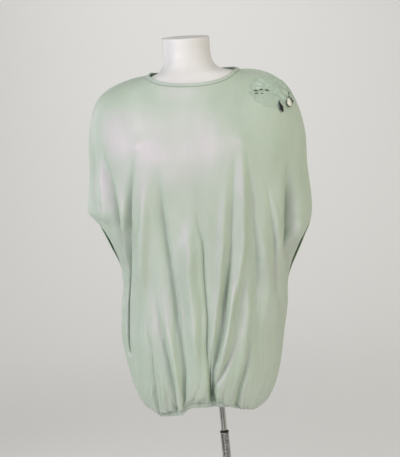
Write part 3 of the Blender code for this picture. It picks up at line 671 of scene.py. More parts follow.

# %% [markdown]
# ## The shape of the tunic
#
# The garment is read from closed rings, from the neck seam over the shoulders and
# down to the hem.  The table has a row for each ring: where it crosses the two side
# lines, its foremost and rearmost points, and two powers that say how full it is
# between them.  A cloth simulation could drape the flat cut over the form, but the
# folds would fall where they like.  Rings with folds placed one by one keep the outline
# and put each drape where it belongs.  The sleeve openings are where front and back
# part at the side lines; there the edge of the front is also set back a little, which
# shows the inside of the sleeve.

# %% Rings of the garment
LEVEL_COLUMNS = ("x_left", "z_left", "x_right", "z_right", "y_front", "z_front",
                 "y_back", "z_back", "flat", "pinch")
LEVELS = np.array((
    (-0.106, 1.4200, 0.114, 1.4140, -0.086, 1.379, 0.074, 1.421, 2.5, 2.0),
    (-0.142, 1.4160, 0.146, 1.4110, -0.093, 1.352, 0.082, 1.404, 2.4, 2.0),
    (-0.187, 1.4030, 0.182, 1.3990, -0.101, 1.328, 0.092, 1.382, 2.3, 2.0),
    (-0.221, 1.3830, 0.211, 1.3790, -0.109, 1.302, 0.101, 1.356, 2.3, 2.0),
    (-0.243, 1.3550, 0.233, 1.3490, -0.117, 1.274, 0.109, 1.321, 2.3, 2.0),
    (-0.257, 1.3120, 0.249, 1.3060, -0.125, 1.244, 0.116, 1.283, 2.4, 1.9),
    (-0.265, 1.2540, 0.258, 1.2500, -0.132, 1.206, 0.120, 1.238, 2.5, 1.8),
    (-0.271, 1.1820, 0.257, 1.1800, -0.135, 1.154, 0.120, 1.175, 2.5, 1.7),
    (-0.280, 1.1080, 0.261, 1.1080, -0.134, 1.100, 0.117, 1.110, 2.5, 1.7),
    (-0.263, 1.0830, 0.257, 1.0560, -0.132, 1.050, 0.115, 1.055, 2.4, 1.7),
    (-0.241, 1.0210, 0.232, 1.0000, -0.131, 0.995, 0.115, 0.996, 2.3, 1.8),
    (-0.208, 0.9460, 0.193, 0.9180, -0.131, 0.925, 0.118, 0.925, 2.2, 1.9),
    (-0.215, 0.8700, 0.185, 0.8500, -0.135, 0.862, 0.127, 0.862, 2.2, 2.0),
    (-0.219, 0.8000, 0.172, 0.7850, -0.142, 0.803, 0.136, 0.803, 2.2, 2.1),
    (-0.211, 0.7350, 0.161, 0.7250, -0.148, 0.747, 0.143, 0.747, 2.2, 2.1),
    (-0.199, 0.6850, 0.147, 0.6750, -0.149, 0.699, 0.144, 0.697, 2.2, 2.1),
    (-0.188, 0.6500, 0.131, 0.6410, -0.143, 0.668, 0.138, 0.665, 2.2, 2.1),
    (-0.173, 0.6240, 0.116, 0.6230, -0.135, 0.654, 0.131, 0.651, 2.2, 2.1),
    (-0.158, 0.6330, 0.101, 0.6350, -0.126, 0.648, 0.123, 0.645, 2.2, 2.1),
))
LEVEL_OF_TIP, LEVEL_OF_UNDERARM = 9, 11
OPENING_HALF_DEPTH, OPENING_REACH = 0.024, 0.045
SET_BACK_LEFT, SET_BACK_RIGHT = 0.022, 0.009
HEM_SAG, SAG_LEVEL, SAG_RAMP, SEAM_LEVEL = 0.016, 15.0, 2, 18
SAG_INNER_X, SAG_INNER_FADE, SAG_OUTER_X, SAG_OUTER_FADE = -0.044, 0.026, -0.165, 0.040
BUBBLE_SAG, BUBBLE_FROM_X, BUBBLE_TO_X, BUBBLE_FADE = 0.016, 0.026, 0.122, 0.030
NECK_DIP, NECK_LEAN, BODY_DIP, BODY_DIP_LEVEL = 0.72, 0.003, 2.0, 4
DRAPE_WIDTH, DRAPE_HEIGHT, DRAPE_RISE = 0.074, 0.085, 0.006
ROWS_PER_LEVEL, FINE_STEPS = 7, 6
COLUMNS_FRONT, COLUMNS_BACK = 380, 260


def spread_rows_evenly(points, count):
    """Each row's points set evenly along the row."""
    run = row_runs(points)
    even = np.empty((len(points), count, 3))
    for r in range(len(points)):
        target = np.linspace(0, run[r, -1], count)
        for axis in range(3):
            even[r, :, axis] = np.interp(target, run[r], points[r, :, axis])
    return even


def half_rings(levels, count, back):
    """Half of each ring, from the right side line to the left one."""
    table = dict(zip(LEVEL_COLUMNS, read_table(LEVELS, levels).T[:, :, None]))
    share = (levels - LEVEL_OF_TIP) / (LEVEL_OF_UNDERARM - LEVEL_OF_TIP)
    share = np.clip(share, 0, 1)[:, None]
    gape = np.abs(np.sin(np.pi * share))
    depth = table["y_back"] if back else table["y_front"]
    height = table["z_back"] if back else table["z_front"]
    x_left, x_right = table["x_left"], table["x_right"]
    dip = NECK_DIP + (BODY_DIP - NECK_DIP) * smooth_step(levels / BODY_DIP_LEVEL)[:, None]
    angle = np.linspace(0, np.pi, FINE_STEPS * count + 1)
    across = (1 + np.cos(angle)) / 2
    x = x_left + (x_right - x_left) * across
    side_z = table["z_left"] + (table["z_right"] - table["z_left"]) * across
    inward = np.maximum(1 - np.abs(np.cos(angle)) ** table["flat"], 0)
    y = depth * inward ** (1 / table["pinch"])
    z = side_z + (height - side_z) * np.abs(np.sin(angle)) ** dip
    if not back:
        y = y - DRAPE_RISE * bust(x, z, DRAPE_WIDTH, DRAPE_HEIGHT)
        low = smooth_step((levels - SAG_LEVEL) / SAG_RAMP)
        sag = (smooth_step((SAG_INNER_X - x) / SAG_INNER_FADE)
               * smooth_step((x - SAG_OUTER_X) / SAG_OUTER_FADE))
        z = z - HEM_SAG * sag * low[:, None]
        bubble = (smooth_step((x - BUBBLE_FROM_X) / BUBBLE_FADE)
                  * smooth_step((BUBBLE_TO_X - x) / BUBBLE_FADE))
        hang = low * smooth_step(SEAM_LEVEL - levels)
        z = z - BUBBLE_SAG * bubble * hang[:, None]
        high = smooth_step(1 - levels / BODY_DIP_LEVEL)
        z = z - NECK_LEAN * np.sin(2 * angle) * high[:, None]
    for side, set_in in ((x_left, SET_BACK_LEFT), (x_right, -SET_BACK_RIGHT * share)):
        beside = gape * np.exp(-((x - side) / OPENING_REACH) ** 2)
        y = y + OPENING_HALF_DEPTH * beside * (1 if back else -1)
        if not back:
            x = x + set_in * beside
    return spread_rows_evenly(np.stack([x, y, z], axis=2), count)


levels = np.linspace(0, len(LEVELS) - 1, (len(LEVELS) - 1) * ROWS_PER_LEVEL + 1)
front_base = half_rings(levels, COLUMNS_FRONT, back=False)
back_base = half_rings(levels, COLUMNS_BACK, back=True)
print("front grid", front_base.shape, "back grid", back_base.shape)

# %% [markdown]
# ## Folds
#
# A fold is a soft trough or ridge along a line down the cloth.  Each row below has
# its depth, below zero for a trough, its steep side if it has one (1 towards +X), its
# half width at the top, middle and foot, and the points of its line.  The folds fan
# out from the two points of the bust and from the shoulders, and run together where
# the hem band draws the cloth in.  Troughs are narrow and ridges are broad, as in any
# soft knit, and none is like its neighbour.  One deep tuck runs down beside the left
# edge, where the side of the cloth has swung in behind the front.

# %% Folds of the front
FRONT_FOLDS = (
    (-0.0060, 1, (0.005, 0.006, 0.005),
     ((-0.238, 1.302), (-0.239, 1.251), (-0.242, 1.190), (-0.245, 1.132), (-0.242, 1.093))),
    (-0.0160, 1, (0.006, 0.008, 0.007),
     ((-0.215, 1.262), (-0.205, 1.203), (-0.194, 1.148), (-0.186, 1.080), (-0.182, 1.005))),
    (-0.0090, 1, (0.005, 0.006, 0.004),
     ((-0.188, 1.120), (-0.186, 1.050), (-0.187, 0.990), (-0.190, 0.935))),
    (-0.0120, 1, (0.007, 0.0065, 0.004),
     ((-0.129, 1.245), (-0.142, 1.173), (-0.150, 1.131), (-0.162, 1.030),
      (-0.172, 0.965), (-0.181, 0.905))),
    (-0.0045, 1, (0.004, 0.005, 0.005),
     ((-0.140, 0.860), (-0.134, 0.810), (-0.128, 0.780), (-0.127, 0.730),
      (-0.126, 0.670), (-0.128, 0.600))),
    (-0.0060, 1, (0.006, 0.006, 0.006),
     ((-0.112, 0.915), (-0.106, 0.860), (-0.097, 0.815), (-0.090, 0.770), (-0.084, 0.725),
      (-0.079, 0.675), (-0.082, 0.600))),
    (-0.0080, 1, (0.010, 0.009, 0.010),
     ((-0.075, 1.215), (-0.073, 1.122), (-0.070, 1.061), (-0.069, 1.009), (-0.062, 0.919),
      (-0.059, 0.874), (-0.052, 0.780), (-0.049, 0.731), (-0.054, 0.681), (-0.062, 0.600))),
    (-0.0052, -1, (0.005, 0.006, 0.005),
     ((0.005, 1.120), (0.006, 1.060), (0.012, 1.013), (0.009, 0.939), (0.010, 0.844),
      (0.006, 0.791), (0.005, 0.747), (0.006, 0.694), (0.005, 0.600))),
    (-0.0048, 1, (0.006, 0.009, 0.010),
     ((0.106, 1.228), (0.097, 1.153), (0.090, 1.096), (0.075, 0.983),
      (0.059, 0.886), (0.053, 0.837))),
    (-0.0105, 1, (0.007, 0.009, 0.007),
     ((0.075, 0.983), (0.059, 0.886), (0.053, 0.837), (0.043, 0.796), (0.029, 0.751),
      (0.017, 0.711), (0.006, 0.600))),
    (-0.0040, 1, (0.003, 0.003, 0.003),
     ((0.022, 0.820), (0.017, 0.770), (0.011, 0.725), (0.006, 0.680), (0.004, 0.600))),
    (-0.0030, 1, (0.006, 0.008, 0.007),
     ((0.130, 1.228), (0.133, 1.167), (0.135, 1.108), (0.133, 1.053), (0.135, 0.991),
      (0.129, 0.924), (0.122, 0.864), (0.123, 0.800))),
    (-0.0060, 1, (0.006, 0.007, 0.006),
     ((0.110, 0.824), (0.103, 0.784), (0.096, 0.743), (0.085, 0.702),
      (0.072, 0.668), (0.058, 0.600))),
    (-0.0065, 1, (0.006, 0.008, 0.006),
     ((0.080, 0.830), (0.072, 0.790), (0.058, 0.755), (0.043, 0.725), (0.028, 0.698),
      (0.014, 0.672), (0.006, 0.600))),
    (-0.0040, 1, (0.004, 0.006, 0.006),
     ((0.166, 1.175), (0.171, 1.121), (0.174, 1.065), (0.176, 1.006), (0.168, 0.906),
      (0.174, 0.872), (0.177, 0.831), (0.171, 0.785), (0.160, 0.731), (0.150, 0.690))),
    (-0.0200, 0, (0.008, 0.012, 0.010),
     ((0.218, 1.215), (0.218, 1.159), (0.219, 1.100), (0.214, 1.045),
      (0.206, 0.985), (0.198, 0.905))),
    (-0.0035, 0, (0.005, 0.006, 0.005),
     ((0.253, 1.291), (0.255, 1.229), (0.252, 1.172), (0.252, 1.114), (0.254, 1.066))),
    (0.0035, 0, (0.006, 0.007, 0.006),
     ((-0.221, 1.249), (-0.224, 1.173), (-0.218, 1.116), (-0.213, 1.054))),
    (0.0030, 0, (0.003, 0.004, 0.003),
     ((-0.232, 1.150), (-0.222, 1.100), (-0.210, 1.050))),
    (-0.0030, 0, (0.003, 0.004, 0.003),
     ((-0.238, 1.150), (-0.230, 1.105), (-0.218, 1.060))),
    (0.0045, 0, (0.008, 0.009, 0.008),
     ((-0.165, 1.160), (-0.170, 1.093), (-0.179, 1.032), (-0.190, 0.960))),
    (0.0078, 0, (0.010, 0.013, 0.012),
     ((-0.112, 1.190), (-0.120, 1.086), (-0.128, 1.029), (-0.136, 0.940), (-0.140, 0.860))),
    (0.0060, 0, (0.014, 0.019, 0.014),
     ((-0.017, 1.110), (-0.017, 1.024), (-0.024, 0.939), (-0.021, 0.905), (-0.019, 0.862),
      (-0.020, 0.809), (-0.020, 0.763), (-0.018, 0.700))),
    (0.0035, 0, (0.010, 0.010, 0.006),
     ((0.076, 1.190), (0.075, 1.128), (0.068, 1.076), (0.060, 1.019), (0.051, 0.968),
      (0.042, 0.906), (0.032, 0.856), (0.021, 0.802), (0.012, 0.757), (0.004, 0.700))),
    (0.0065, 0, (0.010, 0.011, 0.009),
     ((0.120, 1.247), (0.119, 1.189), (0.114, 1.124), (0.105, 1.015), (0.093, 0.962),
      (0.084, 0.925), (0.074, 0.899), (0.063, 0.855), (0.050, 0.801), (0.041, 0.767),
      (0.029, 0.725), (0.016, 0.680))),
    (0.0038, 0, (0.010, 0.013, 0.010),
     ((0.110, 0.970), (0.104, 0.878), (0.100, 0.834), (0.089, 0.786),
      (0.083, 0.735), (0.066, 0.670))),
    (0.0055, 0, (0.012, 0.015, 0.015),
     ((0.152, 1.090), (0.149, 0.992), (0.151, 0.962), (0.148, 0.888), (0.140, 0.800))),
    (0.0025, 0, (0.005, 0.006, 0.005),
     ((0.179, 1.120), (0.185, 1.044), (0.185, 0.965))),
    (0.0045, 0, (0.012, 0.012, 0.010),
     ((0.234, 1.110), (0.229, 1.050), (0.224, 0.990))),
    (0.0045, 0, (0.007, 0.008, 0.007),
     ((-0.090, 0.880), (-0.081, 0.820), (-0.073, 0.760), (-0.067, 0.700), (-0.068, 0.600))),
    (0.0030, 0, (0.005, 0.006, 0.006),
     ((-0.113, 0.760), (-0.106, 0.699), (-0.104, 0.600))),
    (0.0025, 0, (0.005, 0.005, 0.005),
     ((-0.142, 0.735), (-0.136, 0.681), (-0.130, 0.600))),
)
# The deep tuck is pressed straight back, not along the normals, so its lips meet.
SIDE_TUCK = ((-0.162, 1.030), (-0.172, 0.965), (-0.181, 0.905), (-0.187, 0.840),
             (-0.190, 0.775), (-0.186, 0.750))
TUCK_DEPTH, TUCK_HALF_WIDTH, TUCK_TOP_FADE, TUCK_FOOT_FADE = 0.017, 0.0038, 0.110, 0.025
APEXES = ((-0.124, 1.251, 0.0045), (0.120, 1.247, 0.0050))
APEX_REACH, APEX_POWER = 0.020, 1.4
print("folds of the front:", len(FRONT_FOLDS))

# %% Folds of the back
BACK_FOLDS = (
    (-0.0090, -1, (0.009, 0.012, 0.011),
     ((-0.224, 1.290), (-0.228, 1.190), (-0.220, 1.110), (-0.212, 1.020))),
    (0.0040, 0, (0.010, 0.011, 0.010),
     ((-0.196, 1.230), (-0.198, 1.130), (-0.196, 1.020), (-0.194, 0.930))),
    (-0.0095, -1, (0.008, 0.012, 0.009),
     ((-0.146, 1.270), (-0.160, 1.120), (-0.170, 0.980), (-0.186, 0.800))),
    (0.0060, 0, (0.014, 0.018, 0.014),
     ((-0.112, 1.200), (-0.114, 1.060), (-0.118, 0.900), (-0.112, 0.760))),
    (-0.0080, 1, (0.008, 0.010, 0.008),
     ((-0.066, 1.240), (-0.060, 1.080), (-0.052, 0.900), (-0.044, 0.740), (-0.040, 0.600))),
    (0.0060, 0, (0.016, 0.019, 0.014),
     ((-0.018, 1.180), (-0.012, 1.020), (-0.010, 0.880), (-0.012, 0.720))),
    (-0.0055, 1, (0.006, 0.008, 0.007),
     ((0.012, 1.090), (0.014, 0.950), (0.008, 0.800), (0.004, 0.600))),
    (-0.0100, -1, (0.007, 0.011, 0.007),
     ((0.076, 1.250), (0.070, 1.090), (0.052, 0.930), (0.036, 0.780), (0.024, 0.600))),
    (0.0060, 0, (0.012, 0.014, 0.010),
     ((0.104, 1.200), (0.100, 1.050), (0.086, 0.900), (0.066, 0.760))),
    (-0.0080, -1, (0.007, 0.010, 0.008),
     ((0.142, 1.260), (0.148, 1.120), (0.150, 0.980), (0.140, 0.820))),
    (-0.0050, 1, (0.006, 0.007, 0.006),
     ((0.104, 0.860), (0.096, 0.760), (0.084, 0.680), (0.076, 0.600))),
    (0.0045, 0, (0.010, 0.012, 0.010),
     ((0.178, 1.160), (0.180, 1.050), (0.174, 0.930), (0.160, 0.810))),
    (-0.0095, 1, (0.009, 0.014, 0.012),
     ((0.222, 1.260), (0.222, 1.150), (0.214, 1.060), (0.204, 0.960))),
    (-0.0050, -1, (0.006, 0.007, 0.006),
     ((-0.088, 0.840), (-0.092, 0.740), (-0.088, 0.600))),
)
print("folds of the back:", len(BACK_FOLDS))

# %% How a fold lies
TOP_FADE, FOOT_FADE, FADE_SHARE = 0.150, 0.110, 0.45
HEM_HEIGHT, FOLD_RUN_OUT = 0.65, 0.065
TROUGH_POWER, RIDGE_POWER = 1.5, 2.0
TOP_GAIN, FOOT_GAIN, RIDGE_GAIN = 1.40, 1.75, 1.25
GAIN_TOP, GAIN_FOOT, FOOT_WIDTH = 1.15, 0.90, 0.85
STEEP, GENTLE = 0.55, 1.5
LINE_STEPS = 8


def fold_line(points, heights):
    """The x of a fold's line at each height, and how far the line leans there."""
    dense = steps_between(np.array(points)[::-1], LINE_STEPS)
    lean = np.gradient(dense[:, 0], dense[:, 1])
    return np.interp(heights, dense[:, 1], dense[:, 0]), np.interp(heights, dense[:, 1], lean)


def fold_offsets(x, z, folds):
    """How far the folds move each point out (above zero) or in."""
    total = np.zeros_like(x)
    low = smooth_step((GAIN_TOP - z) / (GAIN_TOP - GAIN_FOOT))
    for depth, steep, widths, line in folds:
        top, foot = line[0][1], line[-1][1]
        if foot < HEM_HEIGHT:
            foot -= FOLD_RUN_OUT
        centre, lean = fold_line(line, z)
        width = np.interp((top - z) / (top - foot), (0, 0.5, 1), widths)
        width = width * (1 + (FOOT_WIDTH - 1) * low)
        across = (x - centre) / (width * np.hypot(1, lean))
        if steep:
            across = across / np.where(across * steep > 0, STEEP, GENTLE)
        top_fade = min(TOP_FADE, FADE_SHARE * (top - foot))
        foot_fade = min(FOOT_FADE, FADE_SHARE * (top - foot))
        ends = smooth_step((top - z) / top_fade) * smooth_step((z - foot) / foot_fade)
        power, gain = (TROUGH_POWER, 1) if depth < 0 else (RIDGE_POWER, RIDGE_GAIN)
        total += depth * gain * np.exp(-np.abs(across) ** power) * ends
    return total * (TOP_GAIN + (FOOT_GAIN - TOP_GAIN) * low)


def tuck_depths(x, z):
    """How far back the side tuck presses each point."""
    centre, _ = fold_line(SIDE_TUCK, z)
    ends = (smooth_step((SIDE_TUCK[0][1] - z) / TUCK_TOP_FADE)
            * smooth_step((z - SIDE_TUCK[-1][1]) / TUCK_FOOT_FADE))
    return TUCK_DEPTH * np.exp(-np.abs((x - centre) / TUCK_HALF_WIDTH) ** TROUGH_POWER) * ends


def apex_offsets(x, z):
    """The cloth stands out a little in a soft point over each side of the bust."""
    return sum(rise * np.exp(-(np.hypot(x - place, z - height) / APEX_REACH) ** APEX_POWER)
               for place, height, rise in APEXES)


# %% [markdown]
# ## Gathers, ripples and seams
#
# The wide lower edge is gathered into a much narrower band, so small pleats crowd
# above the seam.  Some are listed one by one, and the rest are drawn from a seeded
# random generator.  Long faint ripples keep the broad parts from looking pressed,
# and finer wrinkles, broken along their length, make the lower body look worn.  The
# cloth dips where the front and back are sewn together.

# %% Gathers, ripples and seams
# Each gather is its x at the hem, its reach up the cloth and its depth.
FRONT_GATHERS = (
    (-0.142, 0.060, 0.0040), (-0.129, 0.045, 0.0045), (-0.112, 0.050, 0.0030),
    (-0.099, 0.080, 0.0045), (-0.079, 0.050, 0.0045), (-0.062, 0.070, 0.0045),
    (-0.038, 0.035, 0.0030), (-0.016, 0.045, 0.0040), (0.005, 0.060, 0.0045),
    (0.022, 0.055, 0.0040), (0.038, 0.030, 0.0030), (0.052, 0.040, 0.0040),
    (0.063, 0.060, 0.0045), (0.076, 0.035, 0.0035), (0.085, 0.050, 0.0040),
)
BACK_GATHERS = (
    (-0.140, 0.060, 0.0040), (-0.115, 0.075, 0.0045), (-0.090, 0.050, 0.0040),
    (-0.066, 0.070, 0.0045), (-0.040, 0.055, 0.0045), (-0.014, 0.080, 0.0050),
    (0.014, 0.060, 0.0045), (0.040, 0.070, 0.0045), (0.064, 0.050, 0.0040),
    (0.085, 0.065, 0.0045),
)
GATHER_HALF_WIDTH, GATHER_REACH_GAIN, GATHER_POWER = 0.0040, 1.35, 1.7
GATHER_FOOT_SHARE, GATHER_SPREAD = 0.75, 0.5
SMALL_GATHERS, SMALL_PLACES = 44, (0.01, 0.99)
SMALL_REACHES, SMALL_DEPTHS = (0.020, 0.060), (0.002, 0.005)
SIDE_FADE, TOP_HOLD_REACH = 0.016, 0.03
SEAM_DIP, SEAM_DIP_WIDTH, PUCKER, PUCKER_LENGTH = 0.0008, 0.0035, 0.0003, 0.011
# Waves in radians a metre: how many, across the cloth, down it and their breaks.
RIPPLE_WAVES = (9, (55, 190), (-22, 22), None)
WRINKLE_WAVES = (8, (240, 560), (-40, 40), (9, 24))
WAVE_STARTS = (0, 6.28)
RIPPLE_SIZE, RIPPLE_TOP, RIPPLE_FADE = 0.00020, 1.20, 0.2
WRINKLE_SIZE, WRINKLE_TOP, WRINKLE_FADE = 0.00016, 1.15, 0.35
HEM_LEVELS, HEM_HOLD, HEM_HOLD_REACH = 2.5, 0.75, 0.012
FRONT_SEED, BACK_SEED = 3, 8
SEWN_WITHIN = 1e-6


def gather_offsets(share, lengths, rise, hem_x, gathers, seed):
    """Small troughs that run up from the hem seam; rise is the way up the cloth."""
    draws = np.random.default_rng(seed)
    placed = [(np.interp(x, hem_x[::-1], share[::-1]), reach * GATHER_REACH_GAIN, depth)
              for x, reach, depth in gathers]
    for _ in range(SMALL_GATHERS):
        placed.append((draws.uniform(*SMALL_PLACES), draws.uniform(*SMALL_REACHES),
                       draws.uniform(*SMALL_DEPTHS)))
    total = np.zeros((len(lengths), len(share)))
    for place, reach, depth in placed:
        away = (share[None, :] - place) * lengths[:, None]
        fade = (1 - smooth_step(rise / reach))[:, None]
        widening = (GATHER_FOOT_SHARE + GATHER_SPREAD * (rise / reach))[:, None]
        width = GATHER_HALF_WIDTH * widening
        total -= depth * np.exp(-(np.abs(away) / width) ** GATHER_POWER) * fade
    return total


def wave_sum(across, z, draws, count, spacings, leans, breaks):
    """Slanting waves added up; breaks, if given, chop each one up along its length."""
    total = 0.0
    for _ in range(count):
        spacing, lean = draws.uniform(*spacings), draws.uniform(*leans)
        start = draws.uniform(*WAVE_STARTS)
        wave = np.sin(spacing * across + lean * z + start)
        if breaks:
            wave = wave * np.sin(draws.uniform(*breaks) * z + start)
        total = total + wave
    return total


def ripples(across, z, seed):
    """Broad ripples and fine wrinkles, which fade out towards the chest."""
    draws = np.random.default_rng(seed)
    broad = wave_sum(across, z, draws, *RIPPLE_WAVES)
    fine = wave_sum(across, z, draws, *WRINKLE_WAVES)
    return (RIPPLE_SIZE * broad * smooth_step((RIPPLE_TOP - z) / RIPPLE_FADE)
            + WRINKLE_SIZE * fine * smooth_step((WRINKLE_TOP - z) / WRINKLE_FADE))


def folded(base, normals, folds, gathers, front, seed):
    """The base surface with all its relief, moved along its normals.

    Near the hem the normals are made level, so that the pleats stay above the seam.
    """
    lengths = np.linalg.norm(np.diff(base, axis=1), axis=2).sum(axis=1)
    share = np.linspace(0, 1, base.shape[1])
    along = share[None, :] * lengths[:, None]
    from_side = np.minimum(along, lengths[:, None] - along)
    down = np.linalg.norm(np.diff(base, axis=0), axis=2).mean(axis=1)
    rise = np.concatenate([[0], np.cumsum(down[::-1])])[::-1]
    x, z = base[:, :, 0], base[:, :, 2]
    offset = fold_offsets(x, z, folds) + ripples(along, z, seed)
    if front:
        offset += apex_offsets(x, z)
    offset += gather_offsets(share, lengths, rise, base[-1, :, 0], gathers, seed)
    offset *= smooth_step(from_side / SIDE_FADE)
    pucker = PUCKER * np.sin(2 * np.pi * rise / PUCKER_LENGTH)[:, None]
    offset -= (SEAM_DIP + pucker) * np.exp(-(from_side / SEAM_DIP_WIDTH) ** 2)
    offset *= smooth_step((rise[0] - rise) / TOP_HOLD_REACH)[:, None]
    offset *= (1 - HEM_HOLD * np.exp(-(rise / HEM_HOLD_REACH) ** 2))[:, None]
    near_hem = smooth_step((levels - levels[-1] + HEM_LEVELS) / HEM_LEVELS)[:, None, None]
    level_normals = unit(normals * np.array((1, 1, 0)))
    moved = base + unit(normals * (1 - near_hem) + level_normals * near_hem) * offset[:, :, None]
    if front:
        moved[:, :, 1] += tuck_depths(x, z)
    return moved


def sewn_rows(side):
    """The rows where front and back meet at a side line, which the openings aren't."""
    apart = np.linalg.norm(front_base[:, side] - back_base[:, side], axis=1)
    return apart < SEWN_WITHIN


def share_side_normals(front_normals, back_normals):
    """Gives both panels one normal where their side lines are sewn together."""
    for side in (0, -1):
        joined = sewn_rows(side)
        shared = unit(front_normals[:, side] + back_normals[:, side])
        front_normals[joined, side] = shared[joined]
        back_normals[joined, side] = shared[joined]


# %% [markdown]
# ## Resting on the form
#
# Cloth can't pass through what it lies on.  Each point is tested against the form,
# and the points that are too deep are lifted.  Lifting only those would leave a
# hard edge round the place, so the lift is spread to its neighbours again and again,
# never below what is needed, and then eased: a soft tent, as tight cloth makes.

# %% Contact with the form
ASKEW, ASKEW_X, ASKEW_Z = math.radians(1.1), -0.010, 1.045
SHOULDER_CLEARANCE, BUST_CLEARANCE = 0.0020, 0.0034
SHOULDER_FOOT, BUST_TOP = 1.37, 1.31
SPREAD_PASSES, EASE_PASSES = 300, 80


def hang_askew(grid):
    """Turns the garment a little about the line of sight from the front."""
    x, z = grid[..., 0] - ASKEW_X, grid[..., 2] - ASKEW_Z
    turned_x = ASKEW_X + x * math.cos(ASKEW) + z * math.sin(ASKEW)
    turned_z = ASKEW_Z + z * math.cos(ASKEW) - x * math.sin(ASKEW)
    return np.stack([turned_x, grid[..., 1], turned_z], axis=-1)


def surface_tree(grids):
    """A search tree over one or more grids of points."""
    points, faces = [], []
    for grid, closed in grids:
        mesh = grid_mesh("guide", grid, cloth_metres(grid, closed), closed)
        start = len(points)
        points += [v.co.copy() for v in mesh.vertices]
        faces += [tuple(start + v for v in p.vertices) for p in mesh.polygons]
        bpy.data.meshes.remove(mesh)
    return BVHTree.FromPolygons(points, faces)


form_surface = surface_tree([(form_grid[:, ::-1], True)])
FORM_BOTTOM = FORM_LEVELS[-1, 0]


def blurred(field):
    """A field eased towards its neighbours along and across; its edges keep theirs."""
    for axis in (0, 1):
        first, last = np.take(field, [0], axis), np.take(field, [-1], axis)
        wide = np.concatenate([first, field, last], axis)
        size = field.shape[axis]
        before, after = (np.take(wide, range(start, start + size), axis) for start in (0, 2))
        field = (before + 2 * field + after) / 4
    return field


def lifted(grid, normals):
    """The grid, moved out along its normals until it lies on the form."""
    lift = np.zeros(grid.shape[:2])
    for place in np.ndindex(lift.shape):
        point = Vector(grid[place])
        if point.z < FORM_BOTTOM:
            continue
        near, normal, _, distance = form_surface.find_nearest(point)
        gap = distance if (point - near).dot(normal) > 0 else -distance
        on_shoulder = smooth_step((point.z - BUST_TOP) / (SHOULDER_FOOT - BUST_TOP))
        clearance = BUST_CLEARANCE + (SHOULDER_CLEARANCE - BUST_CLEARANCE) * on_shoulder
        lift[place] = max(clearance - gap, 0)
    for _ in range(SPREAD_PASSES):
        lift = np.maximum(lift, blurred(lift))
    for _ in range(EASE_PASSES):
        lift = blurred(lift)
    print("  most lift", round(lift.max() * 1000, 1), "mm")
    return grid + normals * lift[:, :, None]


front_normals, back_normals = grid_normals(front_base), -grid_normals(back_base)
share_side_normals(front_normals, back_normals)
front_grid = folded(front_base, front_normals, FRONT_FOLDS, FRONT_GATHERS, True, FRONT_SEED)
back_grid = folded(back_base, back_normals, BACK_FOLDS, BACK_GATHERS, False, BACK_SEED)
front_grid = lifted(hang_askew(front_grid), front_normals)
back_grid = lifted(hang_askew(back_grid), back_normals)

# %% [markdown]
# ## The two panels
#
# Each panel becomes a thin solid: its outer face is the grid moved out by the
# thickness of the jersey, and Solidify adds the inner face.  Both sides of the cloth
# can then be seen, as in the open sleeves and up inside the hem.  The UV map is the
# flat cut: each row is measured along the real cloth from its middle, so the wales of
# the knit run straight down the panel, as they do in cloth that was cut from a roll.

# %% Panels
WALL = 0.0011


def outer_face(grid, flip):
    """The outside of a panel, and its normals, in the order that faces outwards."""
    normals = grid_normals(grid) * (-1 if flip else 1)
    return grid + normals * WALL, normals


front_outer, front_out = outer_face(front_grid, False)
back_outer, back_out = outer_face(back_grid, True)
for side in (0, -1):
    joined = sewn_rows(side)
    middle = (front_outer[:, side] + back_outer[:, side]) / 2
    front_outer[joined, side] = middle[joined]
    back_outer[joined, side] = middle[joined]


def cut_metres(grid):
    """UV places in metres along each row from its middle, so the wales run straight."""
    along = row_runs(grid)
    down = np.broadcast_to(-row_drops(grid)[:, None], along.shape)
    return np.stack([along - along[:, -1:] / 2, down], axis=2)


def make_panel(name, outer, node, flip):
    """One panel of jersey that stands for its solid."""
    grid = outer[:, ::-1] if flip else outer
    mesh = grid_mesh(name, grid, cut_metres(grid))
    panel = as_object(name, mesh, "form", "jersey", jersey, node)
    wall = panel.modifiers.new("wall", "SOLIDIFY")
    wall.thickness = WALL
    wall.offset = -1
    return panel


front_cloth = make_panel("front_cloth", front_outer, "front_panel", False)
back_cloth = make_panel("back_cloth", back_outer, "back_panel", True)
print("front cloth", len(front_cloth.data.polygons), "faces")

# %% [markdown]
# ## The neckband and the hem band
#
# Both are strips of the same jersey, folded in half along their length and sewn on
# by their two raw edges.  Each is made just so: a section that goes up one layer,
# turns over the fold and comes down the other, carried round the seam ring.

# %% Bands
NECKBAND_HEIGHT, HEM_BAND_HEIGHT = 0.0088, 0.0120
NECKBAND_ALONG, NECKBAND_UP = 0.75, 0.45
HEM_BAND_STEP_IN, HEM_SEAM_INSET = 0.0022, 0.001
LAYER, LAYER_CENTRE, LAYER_STOPS, TURN_STEPS = 0.0007, 0.0007, (0, 0.3, 0.7, 1), 7
BAND_MIDDLE = 0.0008
HALF_LEVEL = ROWS_PER_LEVEL // 2
NECK_RISE_EASE, NECK_OUT_EASE, HEM_OUT_EASE = 12, 4, 20


def whole_ring(row):
    """One closed ring of the garment from a row of the front and of the back."""
    return np.concatenate([front_grid[row], back_grid[row][::-1][1:-1]])


def smoothed(vectors, passes):
    """Directions round a ring, each eased towards its neighbours again and again."""
    for _ in range(passes):
        before, after = np.roll(vectors, 1, axis=0), np.roll(vectors, -1, axis=0)
        vectors = unit((before + 2 * vectors + after) / 4)
    return vectors


def ring_steps(ring):
    """The direction along a closed ring at each of its points."""
    return np.roll(ring, -1, axis=0) - np.roll(ring, 1, axis=0)


